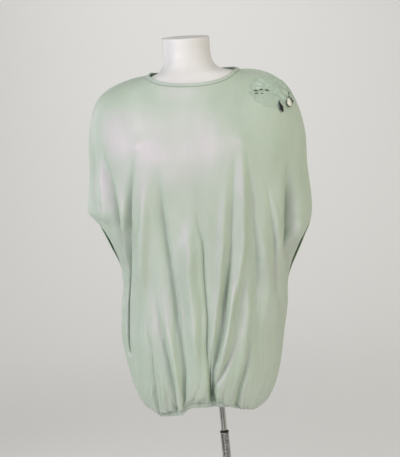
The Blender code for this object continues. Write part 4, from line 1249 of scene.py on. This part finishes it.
def folded_band(name, seam, rise, outward, height, node):
    """A doubled strip whose fold stands a height away from its seam."""
    turn = np.linspace(0, np.pi, TURN_STEPS)[1:-1]
    straight = height - LAYER_CENTRE - LAYER / 2
    section = [(s * straight, -LAYER_CENTRE) for s in LAYER_STOPS]
    section += [(straight + LAYER_CENTRE * math.sin(t), -LAYER_CENTRE * math.cos(t))
                for t in turn]
    section += [(s * straight, LAYER_CENTRE) for s in LAYER_STOPS[::-1]]
    grid = np.stack([seam + rise * up + outward * (BAND_MIDDLE + out)
                     for up, out in section[::-1]])
    mesh = grid_mesh(name, grid, cloth_metres(grid, closed=True), closed=True)
    band = as_object(name, mesh, "form", "band_jersey", band_jersey, node)
    wall = band.modifiers.new("wall", "SOLIDIFY")
    wall.thickness = LAYER
    wall.offset = 0
    return band


neck_seam = whole_ring(0)
cloth_rise = unit(neck_seam - whole_ring(HALF_LEVEL))
neck_rise = unit(cloth_rise * NECKBAND_ALONG + np.array((0, 0, NECKBAND_UP)))
neck_rise = smoothed(neck_rise, NECK_RISE_EASE)
neck_out = smoothed(unit(np.cross(ring_steps(neck_seam), -neck_rise)), NECK_OUT_EASE)
neckband_cloth = folded_band("neckband_cloth", neck_seam, neck_rise, neck_out,
                             NECKBAND_HEIGHT, "neckband")

hem_seam = whole_ring(-1)
hem_out = unit(np.cross(ring_steps(hem_seam), np.array((0, 0, -1.0))))
hem_out = smoothed(hem_out, HEM_OUT_EASE)
hem_drop = unit(np.array((0, 0, -HEM_BAND_HEIGHT)) - hem_out * HEM_BAND_STEP_IN)
hem_band_cloth = folded_band("hem_band_cloth", hem_seam - hem_out * HEM_SEAM_INSET, hem_drop,
                             hem_out, HEM_BAND_HEIGHT, "hem_band")
print("bands made")

# %% [markdown]
# ## Cords
#
# Hems, stitches, lace and threads are all round cords that lie on something.  One
# helper makes a cord: a ring of points is carried along a path, and the direction
# out of the cloth keeps the ring from twisting.  Curve objects with a bevel would do
# as well, but thousands of short stitches are lighter as one mesh.

# %% Cord helper


def cords_mesh(name, cords, sides=6):
    """One mesh of many cords; each is its path, its outward directions and its radii."""
    points, faces = [], []
    turn = 2 * np.pi * np.arange(sides) / sides
    for path, outward, radii, closed in cords:
        path = np.asarray(path, dtype=float)
        along = ring_steps(path) if closed else np.gradient(path, axis=0)
        side = unit(np.cross(along, outward))
        up = unit(np.cross(side, along))
        ring = (side[:, None] * np.cos(turn)[None, :, None]
                + up[:, None] * np.sin(turn)[None, :, None])
        radii = np.broadcast_to(radii, len(path))[:, None, None]
        start, count = len(points), len(path)
        points.extend((path[:, None] + ring * radii).reshape(-1, 3).tolist())
        for r in range(count if closed else count - 1):
            near, far = start + r * sides, start + (r + 1) % count * sides
            faces.extend((near + s, near + (s + 1) % sides, far + (s + 1) % sides, far + s)
                         for s in range(sides))
        if not closed:
            faces.append(tuple(range(start + sides - 1, start - 1, -1)))
            last = start + (count - 1) * sides
            faces.append(tuple(range(last, last + sides)))
    mesh = bpy.data.meshes.new(name)
    mesh.from_pydata(points, [], faces)
    mesh.update()
    return mesh


def resampled(path, outward, step):
    """A path and its outward directions at an even step."""
    run = path_runs(path)
    target = np.linspace(0, run[-1], max(int(run[-1] / step), 2) + 1)
    both = [np.stack([np.interp(target, run, part[:, axis]) for axis in range(3)], axis=1)
            for part in (path, outward)]
    return both[0], unit(both[1])


STITCH_PITCH, STITCH_RADIUS = 0.0030, 0.00022
STITCH_HEIGHTS = (-0.00015, 0.00015, 0.00015, -0.00015)


def stitches(path, outward):
    """Short threads in line: each comes up out of the cloth and goes down again."""
    count = len(STITCH_HEIGHTS)
    places, out = resampled(path, outward, STITCH_PITCH / count)
    heights = np.array(STITCH_HEIGHTS)[:, None]
    spans = [slice(i, i + count) for i in range(0, len(places) - count, count)]
    return [(places[span] + out[span] * heights, out[span], STITCH_RADIUS, False)
            for span in spans]


# %% [markdown]
# ## Hems and stitching
#
# The sleeve openings have a narrow turned hem with two rows of stitches, as a
# coverstitch machine leaves it.  The folded edge is a little thicker than the cloth,
# so it shows as a fine pale line against the dark inside of the sleeve.

# %% Sleeve hems
HEM_EDGE_RADIUS, HEM_EDGE_SIDES, THREAD_SIDES = 0.0014, 10, 5
HEM_STITCH_PLACES = (0.0085, 0.0105)
THREAD_COLOUR, THREAD_SHADE = (0.47, 0.55, 0.45), (0.40, 0.48, 0.38)
opening_rows = slice(LEVEL_OF_TIP * ROWS_PER_LEVEL, LEVEL_OF_UNDERARM * ROWS_PER_LEVEL + 1)


def make_thread():
    """Sewing thread, a little darker and lighter along its twist."""
    material, tree, sockets = new_material("sewing_thread", 0.55, Sheen_Weight=0.3)
    twist = noise_node(tree, object_places(tree), 1500.0, 2.0)
    feed(tree, sockets["Base Color"], mix_colour(tree, twist, THREAD_SHADE, THREAD_COLOUR))
    feed(tree, sockets["Normal"], bump_node(tree, twist, 0.4, 0.0002))
    return material


def inward_column(outer, out, side, distance):
    """Points on the cloth at a distance in from one of its side lines."""
    path, normals = [], []
    for r in range(opening_rows.start, opening_rows.stop):
        row, line = (outer[r], out[r]) if side == 0 else (outer[r][::-1], out[r][::-1])
        run = path_runs(row)
        path.append([np.interp(distance, run, row[:, axis]) for axis in range(3)])
        normals.append(line[np.searchsorted(run, distance)])
    return np.array(path), unit(np.array(normals))


sewing_thread = make_thread()
edges, rows_of_stitches = [], []
for outer, out in ((front_outer, front_out), (back_outer, back_out)):
    for side in (0, -1):
        path = outer[opening_rows, side] - out[opening_rows, side] * (WALL / 2)
        edges.append((path, out[opening_rows, side], HEM_EDGE_RADIUS, False))
        for distance in HEM_STITCH_PLACES:
            rows_of_stitches += stitches(*inward_column(outer, out, side, distance))
sleeve_hems = as_object("sleeve_hems", cords_mesh("sleeve_hems", edges, HEM_EDGE_SIDES),
                        "form", "jersey", band_jersey)
sleeve_stitches = as_object("sleeve_stitches",
                            cords_mesh("sleeve_stitches", rows_of_stitches, THREAD_SIDES),
                            "form", "jersey", sewing_thread)
print("sleeve stitches:", len(rows_of_stitches))

# %% Stitches beside the bands
# Each place is a share of the way from the seam to the next row of the cloth.
NECK_STITCH_PLACE, HEM_STITCH_PLACE = 0.45, 0.80


def ring_stitches(seam, beside, share):
    """Stitches on both panels, part of the way from a seam to the row beside it."""
    rows = []
    for outer, out in ((front_outer, front_out), (back_outer, back_out)):
        rows += stitches(outer[seam] * (1 - share) + outer[beside] * share, out[beside])
    return rows


band_stitches = ring_stitches(0, 1, NECK_STITCH_PLACE) + ring_stitches(-1, -2, HEM_STITCH_PLACE)
seam_stitches = as_object("seam_stitches",
                          cords_mesh("seam_stitches", band_stitches, THREAD_SIDES),
                          "form", "jersey", sewing_thread)
print("seam stitches:", len(band_stitches))

# %% [markdown]
# ## The lace applique
#
# The shoulder has a crocheted motif, dyed to match: a flower between two sprays of
# leaves, on a fine net with a scalloped edge.  Real crochet is one cord laid in
# loops, so the lace is modelled from cords.  The motif is drawn flat, in metres,
# and each point is then laid on the cloth by a ray.

# %% Lace plane
LACE_CENTRE, LACE_REACH = (0.202, 1.355), (0.059, 0.047)
LACE_FACING, LACE_RAY, IN_FRONT = Vector((0.15, -0.30, 0.45)), 0.15, -0.5
cloth_surface = surface_tree([(front_outer, False), (back_outer[:, ::-1], False)])


def drop_on(surface, x, z):
    """The point and normal of the cloth's outer face, met from the front."""
    place, normal, _, _ = surface.ray_cast(Vector((x, IN_FRONT, z)), Vector((0, 1, 0)))
    return place, normal


lace_middle, lace_out = drop_on(cloth_surface, *LACE_CENTRE)
lace_out = (lace_out + LACE_FACING).normalized()
lace_across = Vector((0, 0, 1)).cross(lace_out).normalized()
lace_up = lace_out.cross(lace_across)


def laid(flat, height):
    """Flat points of the motif laid on the cloth, at a height above it, with normals."""
    places, normals = [], []
    for u, v in flat:
        start = lace_middle + lace_across * u + lace_up * v + lace_out * LACE_RAY
        place, normal, _, _ = cloth_surface.ray_cast(start, -lace_out)
        if place is None:
            continue
        places.append(place + normal * height)
        normals.append(normal)
    return np.array(places), np.array(normals)


# %% The motif
OUTLINE_RADIUS, FILL_RADIUS, NET_RADIUS = 0.00042, 0.0005, 0.00032
NET_HEIGHT, FILL_HEIGHT, OUTLINE_HEIGHT = 0.0005, 0.0008, 0.0008
NET_PITCH, NET_LEANS, NET_MARGIN, NET_POINTS, NET_EDGE = 0.0042, (38, 142), 1.5, 90, 0.80
SCALLOPS, SCALLOP_FOOT, SCALLOP_DEPTH = 13, 0.91, 0.09
SCALLOP_ROWS, SCALLOP_POINTS = (1.0, 0.96), 216
LEAF_SCALES, LEAF_FULLNESS, LEAF_TAPER = (1.0, 0.74, 0.48, 0.22), 0.75, 0.25
FLOWER, PETALS, PETAL_TURN = (-0.004, 0.002), 6, 20
PETAL_NEAR, PETAL_FAR, PETAL_HALF_WIDTH = 0.004, 0.0215, 0.0085
HEART_REACH, HEART_HALF_WIDTH, HEART_SCALES = 0.0035, 0.0040, (1.0, 0.5)
# Each leaf is the place it grows from, its angle in degrees, its length and half width.
LEAVES = (
    ((-0.024, 0.006), 172, 0.026, 0.0050), ((-0.020, 0.012), 148, 0.026, 0.0048),
    ((-0.014, 0.018), 118, 0.020, 0.0042), ((-0.020, -0.006), 196, 0.028, 0.0050),
    ((-0.014, -0.012), 222, 0.025, 0.0046), ((0.018, 0.006), 12, 0.030, 0.0050),
    ((0.016, 0.012), 38, 0.024, 0.0048), ((0.012, 0.018), 66, 0.018, 0.0042),
    ((0.018, -0.004), -18, 0.028, 0.0050), ((0.010, -0.012), -48, 0.024, 0.0046),
    ((0.000, -0.018), -88, 0.020, 0.0042),
)
LEAF_NEAR, LEAF_TIP = 0.0015, 1.3


def leaf(centre, angle, near, far, half_width, points=26, tip=1.0):
    """Closed loops, one inside the other, of a leaf or petal along an angle."""
    loops = []
    middle, reach = (near + far) / 2, (far - near) / 2
    t = 2 * np.pi * np.arange(points) / points
    for scale in LEAF_SCALES:
        along = middle - reach * scale * np.cos(t)
        wide = half_width * scale * np.sin(t) * (np.abs(np.sin(t)) ** (tip - 1))
        wide = wide * (LEAF_FULLNESS - LEAF_TAPER * np.cos(t))
        u = centre[0] + along * math.cos(angle) - wide * math.sin(angle)
        v = centre[1] + along * math.sin(angle) + wide * math.cos(angle)
        loops.append(np.stack([u, v], axis=1))
    return loops


def scalloped(scale):
    """The motif's edge: an oval with a row of small outward arcs."""
    t = 2 * np.pi * np.arange(SCALLOP_POINTS) / SCALLOP_POINTS
    reach = scale * (SCALLOP_FOOT + SCALLOP_DEPTH * np.abs(np.sin(SCALLOPS * t / 2)))
    across, up = LACE_REACH
    return np.stack([across * reach * np.cos(t), up * reach * np.sin(t)], axis=1)


flat_loops = []
for petal in range(PETALS):
    petal_angle = math.radians(360 / PETALS * petal + PETAL_TURN)
    flat_loops += leaf(FLOWER, petal_angle, PETAL_NEAR, PETAL_FAR, PETAL_HALF_WIDTH)
for centre, angle, far, width in LEAVES:
    flat_loops += leaf(centre, math.radians(angle), LEAF_NEAR, far, width, tip=LEAF_TIP)
for scale in HEART_SCALES:
    reach = HEART_REACH * scale
    flat_loops += leaf(FLOWER, 0, -reach, reach, HEART_HALF_WIDTH * scale, 14)[:1]


def net_lines():
    """Slanting threads both ways, cut to the inside of the scalloped edge."""
    lines = []
    reach = max(LACE_REACH) * NET_MARGIN
    count = int(reach / NET_PITCH)
    along = np.linspace(-reach, reach, NET_POINTS)
    for lean in map(math.radians, NET_LEANS):
        for step in range(-count, count + 1):
            u = along * math.cos(lean) - step * NET_PITCH * math.sin(lean)
            v = along * math.sin(lean) + step * NET_PITCH * math.cos(lean)
            inside = (u / LACE_REACH[0]) ** 2 + (v / LACE_REACH[1]) ** 2 < NET_EDGE
            if inside.sum() > 3:
                lines.append(np.stack([u[inside], v[inside]], axis=1))
    return lines


lace_cords = []
for loops, height, radius, closed in (
        (net_lines(), NET_HEIGHT, NET_RADIUS, False),
        (flat_loops, FILL_HEIGHT, FILL_RADIUS, True),
        ([scalloped(scale) for scale in SCALLOP_ROWS], OUTLINE_HEIGHT, OUTLINE_RADIUS, True)):
    for flat in loops:
        places, normals = laid(flat, height)
        if len(places) == len(flat):
            lace_cords.append((places, normals, radius, closed))
print("lace cords:", len(lace_cords))

# %% The lace itself
LACE_LOW, LACE_HIGH = (0.400, 0.526, 0.452), (0.462, 0.586, 0.516)
LACE_FLUFF = (0.52, 0.62, 0.52)


def make_lace_material():
    """Matt cotton, with paler fluff along its twist and cloudy dye."""
    material, tree, sockets = new_material("crochet_cotton", 0.8, Sheen_Weight=0.25,
                                           Sheen_Roughness=0.5)
    places = object_places(tree)
    twist = noise_node(tree, places, 1100.0, 2.0)
    cloud = spread(tree, noise_node(tree, places, 60.0, 3.0), 0.35, 0.65)
    base = mix_colour(tree, cloud, LACE_LOW, LACE_HIGH)
    fluffy = mix_colour(tree, spread(tree, twist, 0.2, 1.1), base, LACE_FLUFF)
    feed(tree, sockets["Base Color"], fluffy)
    feed(tree, sockets["Roughness"], math_node(tree, "MULTIPLY_ADD", cloud, 0.1, 0.74))
    feed(tree, sockets["Normal"], bump_node(tree, twist, 0.5, 0.0004))
    return material


shoulder_lace = as_object("crochet_lace", cords_mesh("crochet_lace", lace_cords), "form", "lace",
                          make_lace_material(), "shoulder_lace")
print("lace faces:", len(shoulder_lace.data.polygons))

# %% [markdown]
# ## Beads
#
# A cream shell bead and a black cut drop hang at the lower end of the lace, with a
# short string of small beads above them.  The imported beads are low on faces, so each
# is made again finer in its own place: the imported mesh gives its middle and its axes,
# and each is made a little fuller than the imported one, as the real drops look.

# %% Bead places
POLE_GAP = 0.04


def own_axes(node):
    """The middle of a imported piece, its long, wide and thin directions, and its spans.

    The middle lies halfway from the points' mean to the middle of their box, because a
    drop has more of its points at its full end.
    """
    points = np.array([v.co[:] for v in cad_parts[node].data.vertices])
    middle = (points.max(axis=0) + points.min(axis=0)) / 2
    middle = points.mean(axis=0) * 0.5 + middle * 0.5
    _, _, axes = np.linalg.svd(points - points.mean(axis=0), full_matrices=False)
    long, wide, thin = axes
    long = long * np.sign(long[2])
    thin = thin * -np.sign(thin[1])
    wide = np.cross(thin, long)
    spans = [float(np.ptp((points - middle) @ axis)) / 2 for axis in (long, wide, thin)]
    return middle, long, wide, thin, spans


def bead_grid(profile, middle, long, wide, thin, spans, count=32, power=1.0):
    """A closed bead; the profile gives its half width at each height from -1 to 1."""
    angle = 2 * np.pi * np.arange(count) / count
    x = np.sign(np.cos(angle)) * np.abs(np.cos(angle)) ** power
    y = np.sign(np.sin(angle)) * np.abs(np.sin(angle)) ** power
    rows = []
    for height, width in profile:
        rows.append(middle + long * (height * spans[0])
                    + x[:, None] * wide * (width * spans[1])
                    + y[:, None] * thin * (width * spans[2]))
    return np.array(rows)


def oval_profile(rows, taper=0.0):
    """The profile of an oval bead; taper makes its upper end slimmer."""
    t = np.linspace(POLE_GAP, np.pi - POLE_GAP, rows)
    return [(math.cos(a), math.sin(a) * (1 - taper * (math.cos(a) + 1) / 2)) for a in t]


def closed_grid(name, grid):
    """A mesh from stacked rings, with its two ends filled."""
    mesh = grid_mesh(name, grid, cloth_metres(grid, closed=True), closed=True)
    model = bmesh.new()
    model.from_mesh(mesh)
    model.verts.ensure_lookup_table()
    columns = grid.shape[1]
    last = len(model.verts) - columns
    model.faces.new([model.verts[c] for c in range(columns)])
    model.faces.new([model.verts[last + c] for c in range(columns)])
    bmesh.ops.recalc_face_normals(model, faces=model.faces)
    model.to_mesh(mesh)
    model.free()
    return mesh


# %% Bead finishes
CREAM_COLOURS = (0.58, 0.53, 0.46), (0.68, 0.65, 0.59)
BLACK_GLASS_COLOURS = (0.004, 0.005, 0.004), (0.012, 0.014, 0.011)
BOTTLE_GLASS_COLOURS = (0.035, 0.055, 0.030), (0.080, 0.105, 0.060)


def make_jet(name, colours):
    """Dark polished glass."""
    return make_handled(name, 0.28, colours, scales=(220.0, 3000.0), rub=(0.15, 0.22),
                        bump=(0.1, 0.0003), Coat_Weight=0.2, Coat_Roughness=0.06)


cream_shell = make_handled("cream_shell", 0.2, CREAM_COLOURS, scales=(160.0, 2500.0),
                           rub=(0.12, 0.18), bump=(0.1, 0.0003), Coat_Weight=0.5,
                           Coat_Roughness=0.05, Subsurface_Weight=0.15)
black_glass = make_jet("black_glass", BLACK_GLASS_COLOURS)
bottle_glass = make_jet("bottle_glass", BOTTLE_GLASS_COLOURS)
print("bead finishes:", cream_shell.name, black_glass.name, bottle_glass.name)

# %% The two large beads
CREAM_WIDENED, DROP_WIDENED, DROP_LENGTHENED = 1.15, 1.5, 1.12
CREAM_ROWS, CREAM_TAPER = 18, 0.12
# The cut drop has ten flat sides; its profile is height and half width, from the top.
DROP_PROFILE = ((1.0, 0.10), (0.92, 0.22), (0.62, 0.42), (0.28, 0.74), (-0.05, 1.0),
                (-0.30, 1.0), (-0.52, 0.82), (-0.80, 0.52), (-0.97, 0.26), (-1.0, 0.10))
DROP_SIDES, DROP_BEVEL = 10, 0.0002

cream_middle, cream_long, cream_wide, cream_thin, cream_spans = own_axes("white_bead")
cream_spans[1] *= CREAM_WIDENED
cream_grid = bead_grid(oval_profile(CREAM_ROWS, CREAM_TAPER), cream_middle, cream_long,
                       cream_wide, cream_thin, cream_spans)
cream_bead = as_object("cream_bead", closed_grid("cream_bead", cream_grid),
                       "form", "white_bead", cream_shell, "white_bead")
*drop_axes, drop_spans = own_axes("dark_bead")
drop_spans[0] *= DROP_LENGTHENED
drop_spans[1] *= DROP_WIDENED
drop_grid = bead_grid(DROP_PROFILE, *drop_axes, drop_spans, count=DROP_SIDES)
drop_bead = as_object("drop_bead", closed_grid("drop_bead", drop_grid),
                      "form", "dark_bead", black_glass, "dark_bead")
drop_bead.data.shade_flat()
bevel = drop_bead.modifiers.new("cut_edges", "BEVEL")
bevel.width = DROP_BEVEL
bevel.segments = 2
print("cream bead", round(cream_spans[0] * 2000, 1), "mm long, drop",
      round(drop_spans[0] * 2000, 1), "mm long")

# %% Small beads
# Each row is x, z, half length, half width, dark or pale, and the lean in degrees.
SMALL_BEADS = (
    (0.2325, 1.3420, 0.0026, 0.0013, "dark", 10), (0.2300, 1.3365, 0.0013, 0.0013, "pale", 40),
    (0.2330, 1.3340, 0.0015, 0.0014, "dark", 30), (0.2362, 1.3325, 0.0013, 0.0013, "pale", 30),
    (0.2372, 1.3282, 0.0032, 0.0014, "dark", 28), (0.2410, 1.3262, 0.0012, 0.0012, "pale", 20),
    (0.2400, 1.3228, 0.0032, 0.0018, "dark", 24), (0.2306, 1.3250, 0.0012, 0.0012, "pale", 0),
)
# Each dark dash is a long dark bead: x, z, half length, half width and the lean in degrees.
DARK_DASHES = (
    (0.1620, 1.3538, 0.0046, 0.0016, -78), (0.1740, 1.3550, 0.0044, 0.0015, -92),
    (0.1870, 1.3522, 0.0050, 0.0015, -72), (0.1632, 1.3472, 0.0042, 0.0013, -92),
    (0.1756, 1.3456, 0.0036, 0.0012, -98),
)
BEAD_HEIGHT, BEAD_SEAT = 0.0018, 0.6
SMALL_BEAD_ROWS, SMALL_BEAD_SIDES, SMALL_BEAD_POWER = 9, 14, 0.85


def small_bead(x, z, half_length, half_width, lean):
    """A tiny barrel bead that lies on the lace, its long axis leaning from upright."""
    place, normal = drop_on(cloth_surface, x, z)
    thin = np.array(normal)
    upright = unit(np.array((0, 0, 1.0)) - thin * thin[2])
    side = np.cross(upright, thin)
    angle = math.radians(lean)
    long = upright * math.cos(angle) + side * math.sin(angle)
    middle = np.array(place) + thin * (BEAD_HEIGHT + half_width * BEAD_SEAT)
    return bead_grid(oval_profile(SMALL_BEAD_ROWS), middle, long, np.cross(long, thin), thin,
                     (half_length, half_width, half_width), count=SMALL_BEAD_SIDES,
                     power=SMALL_BEAD_POWER)


def bead_group(name, grids, slot, material):
    """Many small beads as one piece."""
    model = bmesh.new()
    for grid in grids:
        mesh = closed_grid(name, grid)
        model.from_mesh(mesh)
        bpy.data.meshes.remove(mesh)
    mesh = bpy.data.meshes.new(name)
    model.to_mesh(mesh)
    model.free()
    return as_object(name, mesh, "form", slot, material)


small_dark = [small_bead(*row[:4], row[5]) for row in SMALL_BEADS if row[4] == "dark"]
small_pale = [small_bead(*row[:4], row[5]) for row in SMALL_BEADS if row[4] == "pale"]
dark_dash_grids = [small_bead(*row) for row in DARK_DASHES]
seed_beads = bead_group("seed_beads_dark", small_dark, "dark_bead", bottle_glass)
pale_beads = bead_group("seed_beads_pale", small_pale, "white_bead", cream_shell)
dash_beads = bead_group("dark_dash_beads", dark_dash_grids, "dark_bead", bottle_glass)
print("small beads:", len(SMALL_BEADS), "bugle beads:", len(DARK_DASHES))

# %% The beads' thread and the dark crescent
THREAD_STOPS = (
    ((0.2320, 1.3460), (0.2325, 1.3420), (0.2330, 1.3340), (0.2372, 1.3282), (0.2400, 1.3228)),
    ((0.2300, 1.3365), (0.2304, 1.3320), (0.2306, 1.3250)),
    ((0.2150, 1.3300), (0.2128, 1.3250)),
)
THREAD_LIFT, THREAD_STEP, THREAD_RADIUS, STRING_SIDES = 0.0009, 0.001, 0.0003, 8
# A dark cord round the lower and right edge of the cream bead, set a little behind it: its turn
# is in degrees, from low left.
RING_TURN, RING_POINTS, RING_RADIUS = (-150, 40), 26, 0.0011
RING_LONG, RING_WIDE, RING_BACK = 1.02, 1.12, 0.25
RING_DOWN, RING_ACROSS = 0.0004, 0.0006
RING_END, RING_TAPER = 0.15, 0.6


def bead_thread(stops):
    """A thread over the lace through a few stops, given as x and z."""
    path, outward = [], []
    for x, z in stops:
        place, normal = drop_on(cloth_surface, x, z)
        path.append(place + normal * (BEAD_HEIGHT + THREAD_LIFT))
        outward.append(normal)
    return (*resampled(np.array(path), np.array(outward), THREAD_STEP), THREAD_RADIUS, False)


def dark_crescent():
    """A cord that is thickest in its middle, part of the way round the cream bead."""
    half_length, half_width, half_depth = cream_spans
    path = np.array([
        cream_middle + cream_long * (half_length * RING_LONG * math.sin(t) - RING_DOWN)
        + cream_wide * (half_width * RING_WIDE * math.cos(t) + RING_ACROSS)
        - cream_thin * half_depth * RING_BACK
        for t in np.radians(np.linspace(*RING_TURN, RING_POINTS))])
    along = np.linspace(RING_END, np.pi - RING_END, RING_POINTS)
    radii = RING_RADIUS * np.sin(along) ** RING_TAPER
    return path, np.tile(cream_thin, (RING_POINTS, 1)), radii, False


threads = [bead_thread(stops) for stops in THREAD_STOPS] + [dark_crescent()]
bead_string = as_object("bead_string", cords_mesh("bead_string", threads, STRING_SIDES),
                        "form", "dark_bead", bottle_glass)
print("threads:", len(threads))

# %% [markdown]
# ## The stand
#
# A telescopic pole is two chromed tubes with a black clamp collar between them, on
# a heavy round foot.  Turned parts are profiles carried round an axis; every corner
# gets a small rounding, because a sharp edge catches no light.  The outer tube's
# chrome is far more scratched than the inner one's, and its colour is broken into
# dark and pale patches.

# %% Turned pieces
CORNER_SHARE, CORNER_STEPS = 0.45, 3
SHARP_FROM = math.radians(38)


def rounded(profile, radius):
    """Cuts each corner of a closed profile with a small arc."""
    corners = [np.array(p, dtype=float) for p in profile]
    path = []
    for i, corner in enumerate(corners):
        before, after = corners[i - 1], corners[(i + 1) % len(corners)]
        sides = np.linalg.norm(before - corner), np.linalg.norm(after - corner)
        cut = min(radius, CORNER_SHARE * min(sides))
        start = corner + unit(before - corner) * cut
        end = corner + unit(after - corner) * cut
        for share in np.linspace(0, 1, CORNER_STEPS + 1):
            towards = (1 - share) ** 2 * start + 2 * share * (1 - share) * corner
            path.append(towards + share ** 2 * end)
    return np.array(path)


def turned(name, profile, radius, body, slot, material, node, segments=72):
    """A ring-shaped solid turned about Z from a closed profile of radius and height."""
    path = rounded(profile, radius)
    path = np.concatenate([path, path[:1]])
    angle = 2 * np.pi * np.arange(segments) / segments
    grid = np.stack([path[:, :1] * np.cos(angle), path[:, :1] * np.sin(angle),
                     np.repeat(path[:, 1:], segments, axis=1)], axis=2)
    mesh = grid_mesh(name, grid, cloth_metres(grid, closed=True), closed=True)
    model = bmesh.new()
    model.from_mesh(mesh)
    bmesh.ops.remove_doubles(model, verts=model.verts, dist=1e-7)
    bmesh.ops.recalc_face_normals(model, faces=model.faces)
    model.to_mesh(mesh)
    model.free()
    made = as_object(name, mesh, body, slot, material, node)
    made.data.set_sharp_from_angle(angle=SHARP_FROM)
    return made


# %% Stand finishes
CHROME_COLOURS = (0.54, 0.53, 0.50), (0.66, 0.65, 0.62)
# The outer tube's colour runs from dark to pale in small patches.
MOTTLE_COLOURS = (0.20, 0.20, 0.19), (0.74, 0.73, 0.71)
BLACK_COLOURS = (0.010, 0.010, 0.010), (0.022, 0.022, 0.021)

chrome = make_handled("chrome", 0.12, CHROME_COLOURS, scales=(26.0, 900.0),
                      rub=(0.14, 0.12), bump=(0.10, 0.0006), Metallic=1.0)
mottled_chrome = make_handled("mottled_chrome", 0.14, MOTTLE_COLOURS, scales=(210.0, 700.0),
                           rub=(0.14, 0.14), bump=(0.55, 0.0006), Metallic=1.0)
black_plastic = make_handled("black_plastic", 0.4, BLACK_COLOURS, scales=(90.0, 1400.0),
                             rub=(0.2, 0.32), bump=(0.25, 0.0003))
print("stand finishes:", chrome.name, mottled_chrome.name, black_plastic.name)

# %% Stand pieces
SLIDE_CLEARANCE, SEAM_GAP, EDGE = 0.0004, 0.0003, 0.0004
INNER_RADIUS, INNER_BORE, INNER_BOTTOM = 0.0070, 0.0055, 0.130
OUTER_RADIUS, OUTER_BORE, OUTER_BOTTOM = 0.0100, 0.0083, 0.0083
COLLAR_TOP, COLLAR_HEIGHT, COLLAR_RADIUS = 0.5530, 0.0070, 0.0108
# The collar's upper edge, as steps in from its radius and down from its top.
COLLAR_EDGE = ((0.0026, 0.0012), (0.0012, 0.0028), (0.0, 0.0034))
CUP_RADIUS, CUP_PLATE, CUP_SLEEVE, CUP_LENGTH = 0.032, 0.003, 0.012, 0.055
# The foot's section as radius and height, from its hub out to its rim and back.
FOOT_PROFILE = ((0.0103, 0.008), (0.0103, 0.030), (0.017, 0.030), (0.019, 0.026),
                (0.023, 0.0125), (0.030, 0.009), (0.146, 0.007), (0.149, 0.006),
                (0.150, 0.004), (0.150, 0.0), (0.0103, 0.0))
FOOT_EDGE, FOOT_SEGMENTS = 0.0008, 120
UNDER_FORM = FORM_BOTTOM - SEAM_GAP
MOUTH = COLLAR_TOP - COLLAR_HEIGHT
BORE = INNER_RADIUS + SLIDE_CLEARANCE

turned("inner_pole", [(INNER_RADIUS, UNDER_FORM), (INNER_RADIUS, INNER_BOTTOM),
                      (INNER_BORE, INNER_BOTTOM), (INNER_BORE, UNDER_FORM)],
       EDGE, "pole", "chrome", chrome, "inner_tube")
turned("outer_pole", [(OUTER_RADIUS, MOUTH), (OUTER_RADIUS, OUTER_BOTTOM),
                      (OUTER_BORE, OUTER_BOTTOM), (OUTER_BORE, MOUTH)],
       EDGE, "stand", "chrome", mottled_chrome, "outer_tube")
collar_rim = [(COLLAR_RADIUS - inward, COLLAR_TOP - down) for inward, down in COLLAR_EDGE]
turned("clamp_collar", collar_rim + [(COLLAR_RADIUS, MOUTH + SEAM_GAP), (BORE, MOUTH + SEAM_GAP),
                                     (BORE, COLLAR_TOP - COLLAR_EDGE[0][1])],
       EDGE, "stand", "black_plastic", black_plastic, "collar")
turned("round_foot", FOOT_PROFILE, FOOT_EDGE, "stand", "chrome", chrome, "base",
       segments=FOOT_SEGMENTS)
turned("pole_cup", [(CUP_RADIUS, UNDER_FORM), (CUP_RADIUS, UNDER_FORM - CUP_PLATE),
                    (CUP_SLEEVE, UNDER_FORM - CUP_PLATE), (CUP_SLEEVE, UNDER_FORM - CUP_LENGTH),
                    (BORE, UNDER_FORM - CUP_LENGTH), (BORE, UNDER_FORM)],
       EDGE, "form", "chrome", chrome, "pole_socket")
print("stand made")

# %% [markdown]
# ## How much cloth there is
#
# Each sheet of cloth prints its area as it hangs, in square metres.  The front
# and back are each one piece, from the shoulder line to the hem seam; the hem uses
# up their fullness.  The bands are strips, measured across both of their layers.

# %% Sheets


def cloth_area(thing):
    """Half of the outer and inner faces' area, in square metres."""
    shown = thing.evaluated_get(bpy.context.evaluated_depsgraph_get())
    mesh = shown.to_mesh()
    area = sum(face.area for face in mesh.polygons) / 2
    shown.to_mesh_clear()
    return area


for thing in (front_cloth, back_cloth, neckband_cloth, hem_band_cloth):
    print(thing.name, round(cloth_area(thing), 4), "square metres")
